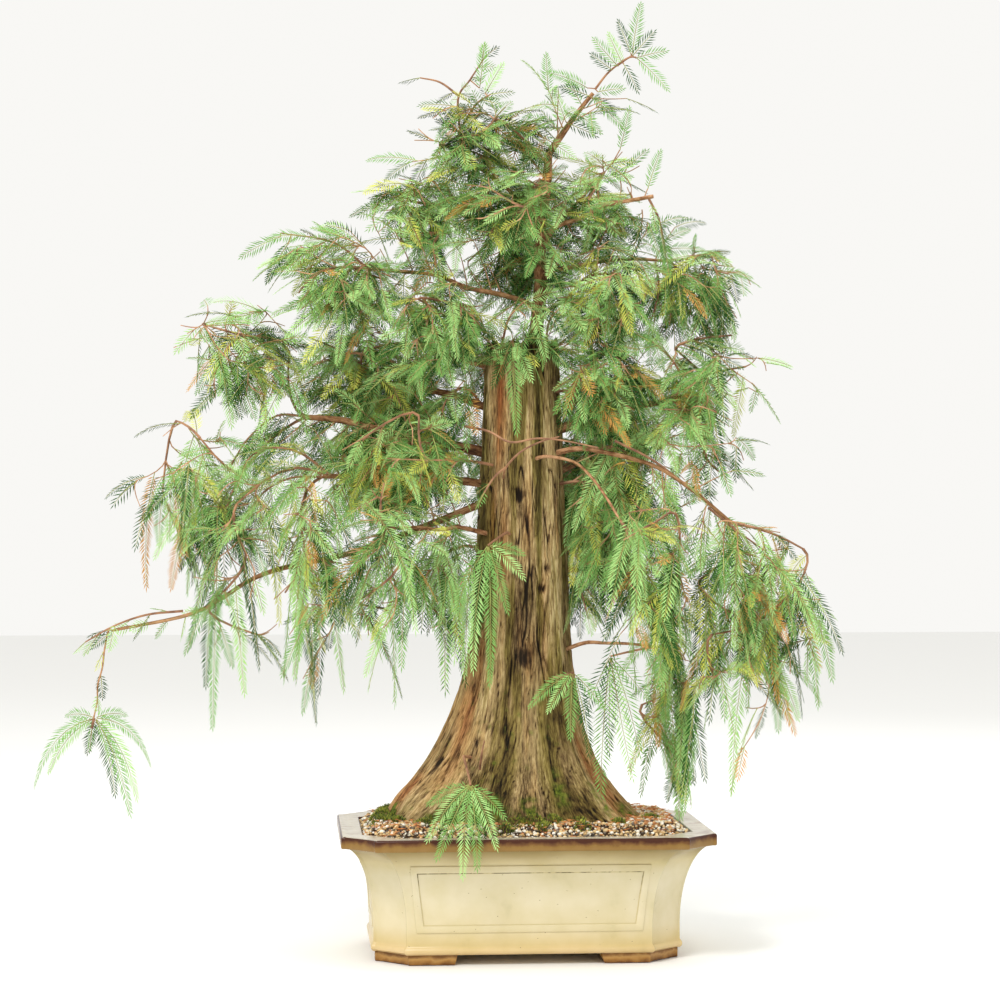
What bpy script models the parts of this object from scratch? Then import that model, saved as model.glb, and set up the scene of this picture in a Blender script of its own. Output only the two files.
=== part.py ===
# Bald cypress bonsai: a flared, cut trunk with a thin leader, drooping boughs and sprays
# of needles, in a glazed pot.  Metres, +Z up; the pot's long front faces -Y.

import math
import random

import bmesh
import bpy
from mathutils import Matrix, Vector
from mathutils.bvhtree import BVHTree

# Pot: a long octagon with stepped corners, flared under a thick lip.
POT_HALF_LENGTH = 0.200
POT_HALF_DEPTH = 0.140
POT_HEIGHT = 0.137
POT_CORNER = 0.034
POT_CORNER_STEP = 0.0035
LIP_HEIGHT = 0.013
LIP_ROUND = 0.0022
LIP_WIDTH = 0.024
UNDERCUT = 0.006
FLARE = 0.035
FLARE_FOOT = 0.037
WALL = 0.010
BEAD_PROUD = 0.0022
BEAD_HEIGHT = 0.009
FOOT_HEIGHT = 0.0107
FOOT_INSET = 0.037
FOOT_GAP_LONG = 0.156
FOOT_GAP_DEEP = 0.100
FOOT_SLANT = 0.004
PANEL_HALF_LENGTH = 0.128
PANEL_HALF_DEPTH = 0.066
PANEL_TOP = 0.1064
PANEL_BOTTOM = 0.0344
PANEL_TAPER = 0.0075
PANEL_BAND = 0.0075
PANEL_PROUD = 0.0012

# Soil: level under the trunk, sloping down to the lip.
SOIL_EDGE = 0.131
SOIL_TOP = 0.1455
SOIL_FLAT_LENGTH = 0.158
SOIL_FLAT_DEPTH = 0.090

GAP = 0.0003

# Trunk: measured in the planting's own frame, which is turned against the pot.
PLANTING_TURN = math.radians(-4.6)
TRUNK_FOOT = SOIL_TOP + GAP
CHOP_HEIGHT = 0.664
CHOP_ROUGHNESS = 0.006
TRUNK_TOP_HALF = 0.0385
TRUNK_SWELL = 0.0095
FLARE_HALF = 0.098
FLARE_REACH = 0.070
TRUNK_SHIFT = -0.016
TRUNK_DEPTH_RATIO = 0.94
FOOT_DEPTH_LOSS = 0.34
FLUTES = 9
FLUTE_DEPTH = 0.045
TRUNK_SIDES = 28
TRUNK_LEVELS = 15
# Surface roots at the foot: angle round the trunk, spread and height of each swelling.
ROOTS = [
    (182, 15, 0.16),
    (214, 11, 0.34),
    (262, 14, 0.16),
    (318, 13, 0.22),
    (352, 13, 0.10),
    (35, 15, 0.22),
    (88, 15, 0.20),
    (138, 14, 0.26),
]
CAVITY = (-0.024, -0.006)
CAVITY_RADIUS = 0.009
CAVITY_DEPTH = 0.022

# Leader: the new shoot that carries the trunk line on from the cut to the top.
LEADER_FOOT = 0.640
LEADER_BEND = 0.872
LEADER_TOP = 0.939
LEADER_OFFSET = Vector((0.0155, 0.006))
LEADER_DRIFT = 0.0125
LEADER_LEAN = 0.78
LEADER_HALF = (0.0095, 0.0055, 0.0034)

# Boughs: height and angle of the foot on the trunk, then the tip in the planting's frame,
# how far the middle arches over the straight line, and the radii at foot and tip.
BOUGHS = {
    "bough_left_shelf": (0.506, 186, (-0.217, -0.020, 0.518), 0.004, 0.0055, 0.0030),
    "bough_left_whip": (0.496, 206, (-0.440, -0.050, 0.3515), -0.006, 0.0050, 0.0018),
    "bough_left_short": (0.452, 218, (-0.135, -0.080, 0.462), 0.004, 0.0040, 0.0024),
    "bough_left_thick": (0.541, 172, (-0.240, 0.030, 0.584), 0.002, 0.0075, 0.0034),
    "bough_left_rising": (0.588, 158, (-0.160, 0.062, 0.626), 0.003, 0.0055, 0.0028),
    "bough_left_chop": (0.640, 190, (-0.112, -0.024, 0.664), -0.006, 0.0045, 0.0024),
    "bough_left_upper": (0.704, 184, (-0.172, -0.030, 0.744), 0.006, 0.0042, 0.0024),
    "bough_left_high": (0.778, 170, (-0.116, 0.028, 0.822), 0.004, 0.0036, 0.0020),
    "bough_left_top": (0.796, 186, (-0.078, -0.004, 0.880), 0.004, 0.0034, 0.0020),
    "bough_right_high": (0.768, 12, (0.084, 0.024, 0.846), 0.004, 0.0036, 0.0020),
    "bough_right_stub": (0.782, 340, (0.143, -0.030, 0.822), 0.006, 0.0036, 0.0028),
    "bough_right_upper": (0.742, 4, (0.152, 0.012, 0.756), 0.004, 0.0038, 0.0022),
    "bough_right_thick": (0.566, 352, (0.190, -0.030, 0.606), 0.004, 0.0072, 0.0032),
    "bough_right_long": (0.538, 322, (0.226, -0.078, 0.466), 0.034, 0.0046, 0.0022),
    "bough_right_low": (0.414, 22, (0.150, 0.050, 0.372), 0.016, 0.0046, 0.0022),
    "bough_right_base": (0.322, 344, (0.136, -0.034, 0.334), 0.008, 0.0036, 0.0018),
    "bough_front_shoot": (0.520, 262, (0.104, -0.112, 0.470), 0.040, 0.0030, 0.0018),
    "bough_back": (0.470, 84, (0.030, 0.185, 0.505), 0.010, 0.0060, 0.0028),
    "bough_back_left": (0.530, 128, (-0.135, 0.170, 0.565), 0.008, 0.0058, 0.0028),
    "bough_back_right": (0.515, 46, (0.140, 0.160, 0.545), 0.008, 0.0058, 0.0028),
}
# The whip turns down at its end, so the hanging part is a limb of its own.
WHIP_DROP = ("bough_left_whip_drop", "bough_left_whip", (-0.4615, -0.055, 0.256), 0.0014, 0.0011)
BOUGH_STEPS = 5
BOUGH_WANDER = 0.022
BOUGH_SINK = 0.55

# Foliage: what each mass grows from (a bough's tip and the place beside other stems there,
# or the trunk's height and angle), the centre and half sizes of its space, its number of
# twigs and of sprays, and how strongly its sprays hang.
MASSES = {
    "foliage_crown_tip": (("trunk", LEADER_TOP, None), (0.095, 0.0, 0.975), (0.072, 0.045, 0.068), 5, 8, 0.1),
    "foliage_top_spire": (("bough_left_top", 1), (-0.075, 0.0, 0.945), (0.046, 0.035, 0.040), 2, 4, 0.1),
    "foliage_top_left": (("bough_left_top", -1), (-0.050, -0.010, 0.885), (0.080, 0.055, 0.046), 4, 7, 0.5),
    "foliage_leader_mid": (("trunk", 0.836, 250), (-0.018, -0.050, 0.805), (0.062, 0.035, 0.050), 4, 6, 0.5),
    "foliage_upper_left": (("bough_left_high", 0), (-0.114, 0.015, 0.806), (0.062, 0.055, 0.052), 4, 6, 0.5),
    "foliage_upper_right": (("bough_right_high", 0), (0.095, 0.010, 0.820), (0.060, 0.055, 0.066), 4, 7, 0.4),
    "foliage_left_upper": (("bough_left_upper", 0), (-0.203, -0.030, 0.728), (0.082, 0.055, 0.052), 4, 7, 0.6),
    "foliage_left_chop": (("bough_left_chop", 0), (-0.092, -0.045, 0.680), (0.062, 0.045, 0.055), 4, 6, 0.7),
    "foliage_left_rising": (("bough_left_rising", 0), (-0.172, 0.060, 0.628), (0.084, 0.060, 0.062), 4, 7, 0.7),
    "foliage_left_mid": (("bough_left_thick", 1), (-0.312, 0.010, 0.650), (0.082, 0.055, 0.066), 5, 8, 0.6),
    "foliage_left_outer": (("bough_left_thick", -1), (-0.357, -0.005, 0.495), (0.074, 0.050, 0.098), 5, 9, 1.0),
    "foliage_left_far": (("bough_left_shelf", 1), (-0.305, -0.050, 0.400), (0.058, 0.045, 0.125), 4, 7, 1.0),
    "foliage_left_shelf": (("bough_left_shelf", -1), (-0.228, -0.050, 0.395), (0.048, 0.045, 0.125), 4, 7, 1.0),
    "foliage_left_short": (("bough_left_short", 0), (-0.148, -0.085, 0.410), (0.048, 0.045, 0.105), 4, 6, 1.0),
    "foliage_left_inner": (("trunk", 0.530, 222), (-0.130, -0.055, 0.535), (0.078, 0.045, 0.052), 4, 6, 0.8),
    "foliage_left_near": (("trunk", 0.440, 200), (-0.086, -0.040, 0.400), (0.038, 0.045, 0.100), 2, 4, 1.0),
    "foliage_whip_tuft": (("bough_left_whip_drop", 0), (-0.459, -0.055, 0.215), (0.066, 0.045, 0.055), 3, 5, 0.9),
    "foliage_right_upper": (("bough_right_upper", 0), (0.196, 0.005, 0.717), (0.068, 0.055, 0.060), 4, 7, 0.7),
    "foliage_right_inner": (("trunk", 0.700, 330), (0.090, -0.030, 0.708), (0.058, 0.045, 0.062), 4, 6, 0.7),
    "foliage_right_thick": (("bough_right_thick", 1), (0.209, -0.020, 0.624), (0.068, 0.055, 0.058), 4, 7, 0.7),
    "foliage_right_under": (("bough_right_thick", -1), (0.190, -0.045, 0.550), (0.066, 0.045, 0.056), 4, 6, 0.9),
    "foliage_right_mid": (("trunk", 0.610, 340), (0.092, -0.035, 0.612), (0.055, 0.045, 0.060), 4, 6, 0.7),
    "foliage_right_long": (("bough_right_long", 1), (0.284, -0.075, 0.372), (0.054, 0.045, 0.106), 4, 7, 1.0),
    "foliage_right_drop": (("bough_right_long", -1), (0.222, -0.095, 0.328), (0.050, 0.040, 0.150), 4, 7, 1.0),
    "foliage_right_front": (("bough_front_shoot", 0), (0.138, -0.115, 0.400), (0.048, 0.040, 0.118), 4, 7, 1.0),
    "foliage_right_low": (("bough_right_low", 0), (0.164, 0.030, 0.265), (0.042, 0.045, 0.112), 4, 6, 1.0),
    "foliage_right_stem": (("trunk", 0.510, 350), (0.090, -0.010, 0.475), (0.046, 0.050, 0.100), 4, 6, 0.9),
    "foliage_right_base": (("bough_right_base", 0), (0.104, -0.045, 0.285), (0.038, 0.035, 0.060), 2, 3, 1.0),
    "foliage_front_left": (("trunk", 0.455, 255), (-0.026, -0.088, 0.378), (0.034, 0.030, 0.086), 2, 4, 1.2),
    "foliage_front_top": (("trunk", 0.650, 262), (-0.010, -0.068, 0.612), (0.024, 0.024, 0.052), 1, 2, 1.2),
    "foliage_front_foot": (("trunk", 0.300, 310), (0.036, -0.095, 0.272), (0.036, 0.030, 0.046), 1, 2, 1.0),
    "foliage_pot_sprig": (("trunk", 0.215, 236), (-0.063, -0.135, 0.177), (0.048, 0.040, 0.070), 2, 4, 1.0),
    "foliage_back": (("bough_back", 0), (0.030, 0.200, 0.500), (0.085, 0.060, 0.085), 4, 7, 0.9),
    "foliage_back_left": (("bough_back_left", 0), (-0.150, 0.185, 0.545), (0.085, 0.060, 0.085), 4, 7, 0.9),
    "foliage_back_right": (("bough_back_right", 0), (0.150, 0.175, 0.530), (0.082, 0.060, 0.085), 4, 7, 0.9),
    "foliage_back_high": (("trunk", 0.735, 85), (-0.005, 0.110, 0.765), (0.075, 0.050, 0.060), 4, 6, 0.7),
}
# Twigs keep to the upper, inner part of the space; sprays fill the rest of it.
TWIG_SHARE = 0.78
TWIG_LIFT = 0.22
TWIG_RADIUS = 0.0018
TWIG_THINNING = 0.0002
TWIG_JOINT = 0.5
TWIG_LEAST = 0.0011
STEM_COLLAR = 0.010
LANE = 0.0012
LANE_LEAN = 0.6
CLIMB = 1.5
CANDIDATES = 14

SPRAY_LENGTH = 0.092
SPRAY_LEAST = 0.026
SPRAY_MOST = 0.125
SPRAY_SHELL = 0.55
SPRAY_ROLL = 1.1
SPRAY_JOINT = 0.010
SPRAY_HALF_WIDTH = 0.0270
SPRAY_RIDGE = 0.0028
SPRAY_TEETH = 3
SPRAY_NOTCH = 0.40
SPRAY_STALK = 0.10
SPRAY_STALK_HALF = 0.0008
SPRAY_ROOT_HALF = 0.0004
SPRAY_SINK = 0.0004
SPRAY_SPACING = 0.007
SPRAY_TRIES = 40
CLEARANCE = 0.0006

COLOURS = {
    "pot": ((0.80, 0.74, 0.54), 0.30),
    "soil": ((0.32, 0.22, 0.13), 0.95),
    "trunk": ((0.24, 0.16, 0.09), 0.90),
    "bough": ((0.30, 0.17, 0.09), 0.85),
    "foliage": ((0.16, 0.34, 0.08), 0.65),
}


# Scene and object helpers.

def clearScene():
    for item in list(bpy.data.objects):
        bpy.data.objects.remove(item)


def makeMaterial(name, colour, roughness):
    material = bpy.data.materials.new(name)
    material.use_nodes = True
    shader = material.node_tree.nodes["Principled BSDF"]
    shader.inputs["Base Color"].default_value = (*colour, 1.0)
    shader.inputs["Roughness"].default_value = roughness
    shader.inputs["Metallic"].default_value = 0.0
    return material


def makeCollection(name):
    collection = bpy.data.collections.new(name)
    bpy.context.scene.collection.children.link(collection)
    return collection


def objectFrom(bm, name, collection):
    bmesh.ops.recalc_face_normals(bm, faces=bm.faces)
    mesh = bpy.data.meshes.new(name)
    bm.to_mesh(mesh)
    bm.free()
    item = bpy.data.objects.new(name, mesh)
    collection.objects.link(item)
    return item


def applyModifiers(item):
    graph = bpy.context.evaluated_depsgraph_get()
    mesh = bpy.data.meshes.new_from_object(item.evaluated_get(graph))
    item.modifiers.clear()
    item.data = mesh
    return item


def combine(item, tool, operation):
    modifier = item.modifiers.new(operation.lower(), "BOOLEAN")
    modifier.operation = operation
    modifier.solver = "MANIFOLD"
    modifier.object = tool
    applyModifiers(item)
    bpy.data.objects.remove(tool)
    return item


def joinAll(pieces, name, collection):
    # One Boolean union over a collection that holds every piece but the first.
    first = pieces[0]
    first.name = name
    if len(pieces) == 1:
        return first
    rest = makeCollection(name + "_pieces")
    for piece in pieces[1:]:
        collection.objects.unlink(piece)
        rest.objects.link(piece)
    modifier = first.modifiers.new("union", "BOOLEAN")
    modifier.operation = "UNION"
    modifier.solver = "MANIFOLD"
    modifier.operand_type = "COLLECTION"
    modifier.collection = rest
    applyModifiers(first)
    for piece in list(rest.objects):
        bpy.data.objects.remove(piece)
    bpy.data.collections.remove(rest)
    return first


def loft(rings):
    # Joins closed rings of equal point counts and caps both ends; no tool lofts
    # between sections that differ in shape.
    bm = bmesh.new()
    levels = [[bm.verts.new(point) for point in ring] for ring in rings]
    count = len(levels[0])
    for low, high in zip(levels, levels[1:]):
        for index in range(count):
            after = (index + 1) % count
            bm.faces.new((low[index], low[after], high[after], high[index]))
    bm.faces.new(list(reversed(levels[0])))
    bm.faces.new(levels[-1])
    return bm


def prism(outlines, length, turn, name, collection):
    # A flat outline, with any hole as a second outline, extruded along its normal.
    curve = bpy.data.curves.new(name, "CURVE")
    curve.dimensions = "2D"
    curve.fill_mode = "BOTH"
    curve.extrude = length / 2
    for outline in outlines:
        spline = curve.splines.new("POLY")
        spline.points.add(len(outline) - 1)
        for point, (across, up) in zip(spline.points, outline):
            point.co = (across, up, 0.0, 1.0)
        spline.use_cyclic_u = True
    shape = bpy.data.objects.new(name, curve)
    collection.objects.link(shape)
    shape.matrix_world = Matrix.Rotation(turn, 4, "Z") @ Matrix.Rotation(math.pi / 2, 4, "X")
    return curveToMesh(shape, collection)


def curveToMesh(shape, collection):
    bpy.context.view_layer.update()
    graph = bpy.context.evaluated_depsgraph_get()
    mesh = bpy.data.meshes.new_from_object(shape.evaluated_get(graph))
    bm = bmesh.new()
    bm.from_mesh(mesh)
    bmesh.ops.remove_doubles(bm, verts=bm.verts, dist=0.00001)
    bm.transform(shape.matrix_world)
    name = shape.name
    bpy.data.objects.remove(shape)
    return objectFrom(bm, name, collection)


def tube(points, radii, name, collection):
    curve = bpy.data.curves.new(name, "CURVE")
    curve.dimensions = "3D"
    curve.bevel_depth = 1.0
    curve.bevel_resolution = 1
    curve.use_fill_caps = True
    spline = curve.splines.new("POLY")
    spline.points.add(len(points) - 1)
    for place, point, radius in zip(spline.points, points, radii):
        place.co = (*point, 1.0)
        place.radius = radius
    shape = bpy.data.objects.new(name, curve)
    collection.objects.link(shape)
    return curveToMesh(shape, collection)


# Pot and soil.

def potSection(inset, height):
    # The stepped-corner octagon, as one ring of points.
    length = POT_HALF_LENGTH - inset
    depth = POT_HALF_DEPTH - inset
    corner = POT_CORNER
    step = POT_CORNER_STEP
    quarter = [
        (length, depth - corner),
        (length - step, depth - corner),
        (length - corner, depth - step),
        (length - corner, depth),
    ]
    ring = [Vector((x, y, height)) for x, y in quarter]
    ring += [Vector((-x, y, height)) for x, y in reversed(quarter)]
    ring += [Vector((-x, -y, height)) for x, y in quarter]
    ring += [Vector((x, -y, height)) for x, y in reversed(quarter)]
    return ring


def wallInset(height):
    # The wall stands upright at the foot and flares along a quarter ellipse.
    top = POT_HEIGHT - LIP_HEIGHT
    share = max(0.0, (height - FLARE_FOOT) / (top + UNDERCUT / 4 - FLARE_FOOT))
    return FLARE * math.sqrt(max(0.0, 1.0 - share * share))


def wallHeights(low, high, count):
    # Closer together toward the top, where the flare turns most.
    return [low + (high - low) * math.sin(math.pi / 2 * index / count) for index in range(count + 1)]


def makeCavityTool(collection, clearance):
    floor = FOOT_HEIGHT + WALL + clearance
    under = LIP_WIDTH + clearance
    deep = FLARE + WALL + clearance
    rings = [
        potSection(deep, floor),
        potSection(deep - 0.004, FLARE_FOOT + 0.030),
        potSection(under, POT_HEIGHT - LIP_HEIGHT),
    ]
    return rings, under


def makePot(collection):
    lipFoot = POT_HEIGHT - LIP_HEIGHT
    beadTop = FOOT_HEIGHT + BEAD_HEIGHT
    rings = [potSection(FLARE + 0.001, FOOT_HEIGHT)]
    rings.append(potSection(FLARE - BEAD_PROUD, FOOT_HEIGHT + 0.002))
    rings.append(potSection(FLARE - BEAD_PROUD, beadTop - 0.0025))
    rings.append(potSection(FLARE, beadTop))
    for height in wallHeights(FLARE_FOOT, lipFoot - 0.0005, 7):
        rings.append(potSection(max(wallInset(height), UNDERCUT), height))
    rings.append(potSection(LIP_ROUND / 2, lipFoot))
    rings.append(potSection(0.0, lipFoot + LIP_ROUND))
    rings.append(potSection(0.0, POT_HEIGHT - LIP_ROUND))
    rings.append(potSection(LIP_ROUND * 0.7, POT_HEIGHT))
    pot = objectFrom(loft(rings), "pot", collection)
    for turn, half in ((0.0, PANEL_HALF_LENGTH), (math.pi / 2, PANEL_HALF_DEPTH)):
        combine(pot, makePanels(turn, half, collection), "UNION")
    combine(pot, makeFeet(collection), "UNION")
    inside, under = makeCavityTool(collection, 0.0)
    inside.append(potSection(under, POT_HEIGHT + 0.010))
    combine(pot, objectFrom(loft(inside), "cavity", collection), "DIFFERENCE")
    return pot


def panelOutline(half, inset):
    top = PANEL_TOP - inset
    bottom = PANEL_BOTTOM + inset
    wide = half - inset
    narrow = half - PANEL_TAPER - inset
    return [(-narrow, bottom), (narrow, bottom), (wide, top), (-wide, top)]


def makePanels(turn, half, collection):
    # Raised bands that follow the wall: the wall grown by their height, kept only
    # inside a frame-shaped prism that runs through the pot.
    rings = [potSection(wallInset(height) - PANEL_PROUD, height)
             for height in wallHeights(FLARE_FOOT - 0.010, PANEL_TOP + 0.006, 6)]
    band = objectFrom(loft(rings), "panel", collection)
    outlines = [panelOutline(half, 0.0), panelOutline(half, PANEL_BAND)]
    frame = prism(outlines, 3 * POT_HALF_LENGTH, turn, "frame", collection)
    return combine(band, frame, "INTERSECT")


def makeFeet(collection):
    sink = 0.001
    rings = [potSection(FOOT_INSET, 0.0), potSection(FOOT_INSET, FOOT_HEIGHT + sink)]
    feet = objectFrom(loft(rings), "feet", collection)
    for turn, gap in ((0.0, FOOT_GAP_LONG), (math.pi / 2, FOOT_GAP_DEEP)):
        low = gap / 2 + FOOT_SLANT
        high = gap / 2 - FOOT_SLANT
        below = -0.01
        above = FOOT_HEIGHT + 0.01
        outline = [(-low, below), (low, below), (high, above), (-high, above)]
        slot = prism([outline], 3 * POT_HALF_LENGTH, turn, "slot", collection)
        combine(feet, slot, "DIFFERENCE")
    return feet


def makeSoil(collection):
    rings, under = makeCavityTool(collection, GAP)
    rings.append(potSection(under, SOIL_EDGE))
    top = []
    flat = potSection(0.0, SOIL_TOP)
    for point in flat:
        x = point.x / POT_HALF_LENGTH * SOIL_FLAT_LENGTH
        y = point.y / POT_HALF_DEPTH * SOIL_FLAT_DEPTH
        top.append(Vector((x, y, SOIL_TOP)))
    rings.append(top)
    return objectFrom(loft(rings), "soil", collection)


# Trunk and leader.

def trunkHalfWidth(height):
    climb = (CHOP_HEIGHT - height) / (CHOP_HEIGHT - TRUNK_FOOT)
    swell = TRUNK_SWELL * min(1.0, 2.1 * climb)
    return TRUNK_TOP_HALF + swell + FLARE_HALF * math.exp((TRUNK_FOOT - height) / FLARE_REACH)


def trunkCentre(height):
    return TRUNK_SHIFT * math.exp((TRUNK_FOOT - height) / (1.3 * FLARE_REACH))


def trunkPoint(height, angle, grow=0.0):
    # A point on the bark at this height and angle in degrees; grow moves it outward.
    flare = math.exp((TRUNK_FOOT - height) / FLARE_REACH)
    half = trunkHalfWidth(height)
    ripple = FLUTE_DEPTH * math.cos(math.radians(FLUTES * angle + 40 * math.sin(9 * height)))
    swelling = 0.0
    for direction, spread, rise in ROOTS:
        offset = (angle - direction + 180) % 360 - 180
        swelling += rise * math.exp(-(offset / spread) ** 2)
    reach = half * (1.0 - 0.10 * flare + flare * swelling + ripple * (1.0 - 0.5 * flare)) + grow
    depth = TRUNK_DEPTH_RATIO - FOOT_DEPTH_LOSS * flare
    turn = math.radians(angle)
    x = trunkCentre(height) + reach * math.cos(turn)
    return Vector((x, reach * depth * math.sin(turn), height))


def makeTrunkBody(grow, collection):
    rings = []
    for level in range(TRUNK_LEVELS):
        share = level / (TRUNK_LEVELS - 1)
        height = TRUNK_FOOT + (CHOP_HEIGHT - TRUNK_FOOT) * share ** 1.7
        ring = [trunkPoint(height, 360 * side / TRUNK_SIDES, grow) for side in range(TRUNK_SIDES)]
        rings.append(ring)
    if grow:
        for point in rings[-1]:
            point.z += grow
        for point in rings[0]:
            point.z -= grow
    rough = random.Random("chop")
    for point in rings[-1]:
        point.z += CHOP_ROUGHNESS * rough.uniform(-1.0, 0.6)
    bm = loft(rings)
    bmesh.ops.triangulate(bm, faces=[face for face in bm.faces if len(face.verts) > 4])
    return objectFrom(bm, "trunk", collection)


def leaderPoint(height):
    # Nearly upright from the cut to the bend, then leaning out to the right.
    share = (height - CHOP_HEIGHT) / (LEADER_BEND - CHOP_HEIGHT)
    lean = LEADER_LEAN * max(0.0, height - LEADER_BEND)
    x = LEADER_OFFSET.x + LEADER_DRIFT * min(1.0, share) + lean + 0.002 * math.sin(46 * height)
    y = LEADER_OFFSET.y + 0.003 * math.sin(31 * height)
    return Vector((x, y, height))


def leaderRadius(height):
    foot, bend, top = LEADER_HALF
    if height < LEADER_BEND:
        share = (height - LEADER_FOOT) / (LEADER_BEND - LEADER_FOOT)
        return foot + (bend - foot) * max(0.0, share)
    share = (height - LEADER_BEND) / (LEADER_TOP - LEADER_BEND)
    return bend + (top - bend) * min(1.0, share)


def makeTrunk(grow, collection):
    body = makeTrunkBody(grow, collection)
    steps = 12
    heights = [LEADER_FOOT + (LEADER_TOP - LEADER_FOOT) * step / steps for step in range(steps + 1)]
    radii = [leaderRadius(height) + grow for height in heights]
    leader = tube([leaderPoint(height) for height in heights], radii, "leader", collection)
    trunk = joinAll([body, leader], "trunk", collection)
    if grow:
        return trunk
    bm = bmesh.new()
    place = Matrix.Translation((CAVITY[0], CAVITY[1], CHOP_HEIGHT))
    bmesh.ops.create_cone(bm, cap_ends=True, segments=7, radius1=CAVITY_RADIUS * 0.5,
                          radius2=CAVITY_RADIUS, depth=2 * CAVITY_DEPTH, matrix=place)
    return combine(trunk, objectFrom(bm, "hollow", collection), "DIFFERENCE")


# Boughs.

def footPoint(height, angle):
    # Where a limb starts: inside the bark, or on the leader's axis above the cut.
    if height > CHOP_HEIGHT:
        return leaderPoint(height)
    surface = trunkPoint(height, angle)
    centre = Vector((trunkCentre(height), 0.0, height))
    return centre.lerp(surface, BOUGH_SINK)


def boughPath(name, foot, tip, arch):
    # A gentle arch with a seeded wander that dies out at both ends.
    wander = random.Random(name)
    length = (tip - foot).length
    points = []
    for step in range(BOUGH_STEPS + 1):
        share = step / BOUGH_STEPS
        bulge = 4 * share * (1 - share)
        point = foot.lerp(tip, share)
        point.z += arch * bulge
        amount = BOUGH_WANDER * length * bulge
        point += Vector([wander.uniform(-amount, amount) for axis in range(3)])
        points.append(point)
    return points


def makeBoughs(trunkCutterMaker, collection):
    boughs = {}
    for name, (height, angle, tip, arch, footRadius, tipRadius) in BOUGHS.items():
        path = boughPath(name, footPoint(height, angle), Vector(tip), arch)
        radii = [footRadius + (tipRadius - footRadius) * (step / BOUGH_STEPS) ** 0.8
                 for step in range(BOUGH_STEPS + 1)]
        bough = tube(path, radii, name, collection)
        combine(bough, trunkCutterMaker(), "DIFFERENCE")
        boughs[name] = (bough, path)
    name, parent, tip, footRadius, tipRadius = WHIP_DROP
    foot, heading = stemStart(boughs[parent][1], 0)
    bend = foot + heading * 0.006
    path = [foot] + boughPath(name, bend, Vector(tip), 0.0)
    radii = [footRadius + (tipRadius - footRadius) * step / (BOUGH_STEPS + 1)
             for step in range(BOUGH_STEPS + 2)]
    boughs[name] = (tube(path, radii, name, collection), path)
    return boughs


def stemStart(path, lane):
    # Just clear of a limb's tip; two stems there part, one above the other.
    heading = (path[-1] - path[-2]).normalized()
    up = Vector((0.0, 0.0, 1.0))
    up = (up - heading * up.dot(heading)).normalized()
    lean = math.sin(math.atan(LANE_LEAN * abs(lane)))
    start = path[-1] + heading * (GAP + TWIG_JOINT * TWIG_RADIUS * lean) + up * (LANE * lane)
    return start, (heading + up * (LANE_LEAN * lane)).normalized()


# Foliage.

def placeInside(seeded, centre, halves, hang):
    while True:
        place = Vector([seeded.uniform(-1.0, 1.0) for axis in range(3)])
        if place.length <= 1.0:
            inner = [part * half * TWIG_SHARE for part, half in zip(place, halves)]
            lift = TWIG_LIFT * min(hang, 1.0) * halves[2]
            return centre + Vector((inner[0], inner[1], inner[2] + lift))


def growTwigs(name, start, collar, centre, halves, count, hang):
    # Spread the twigs' ends evenly through the space, then join each, nearest first,
    # to the closest twig, preferring one that it can hang from.
    seeded = random.Random(name + " twigs")
    ends = []
    for index in range(count):
        best = None
        widest = -1.0
        for candidate in range(CANDIDATES):
            place = placeInside(seeded, centre, halves, hang)
            room = min([(place - other).length for other in ends + [collar]])
            if room > widest:
                widest = room
                best = place
        ends.append(best)
    ends.sort(key=lambda place: (place - collar).length)
    nodes = [start, collar]
    parents = [None, 0]
    for place in ends:
        costs = []
        for index, node in enumerate(nodes[1:], start=1):
            climb = max(0.0, place.z - node.z)
            costs.append(((place - node).length + CLIMB * climb, index))
        parents.append(min(costs)[1])
        nodes.append(place)
    return nodes, parents


def ribPoint(root, heading, hang, travel):
    # The rib sets out along its heading and bends down more and more.
    down = Vector((0.0, 0.0, -1.0))
    share = travel / SPRAY_LENGTH
    return root + travel * (heading * (1 - 0.25 * hang * share) + down * (0.45 * hang * share))


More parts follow.
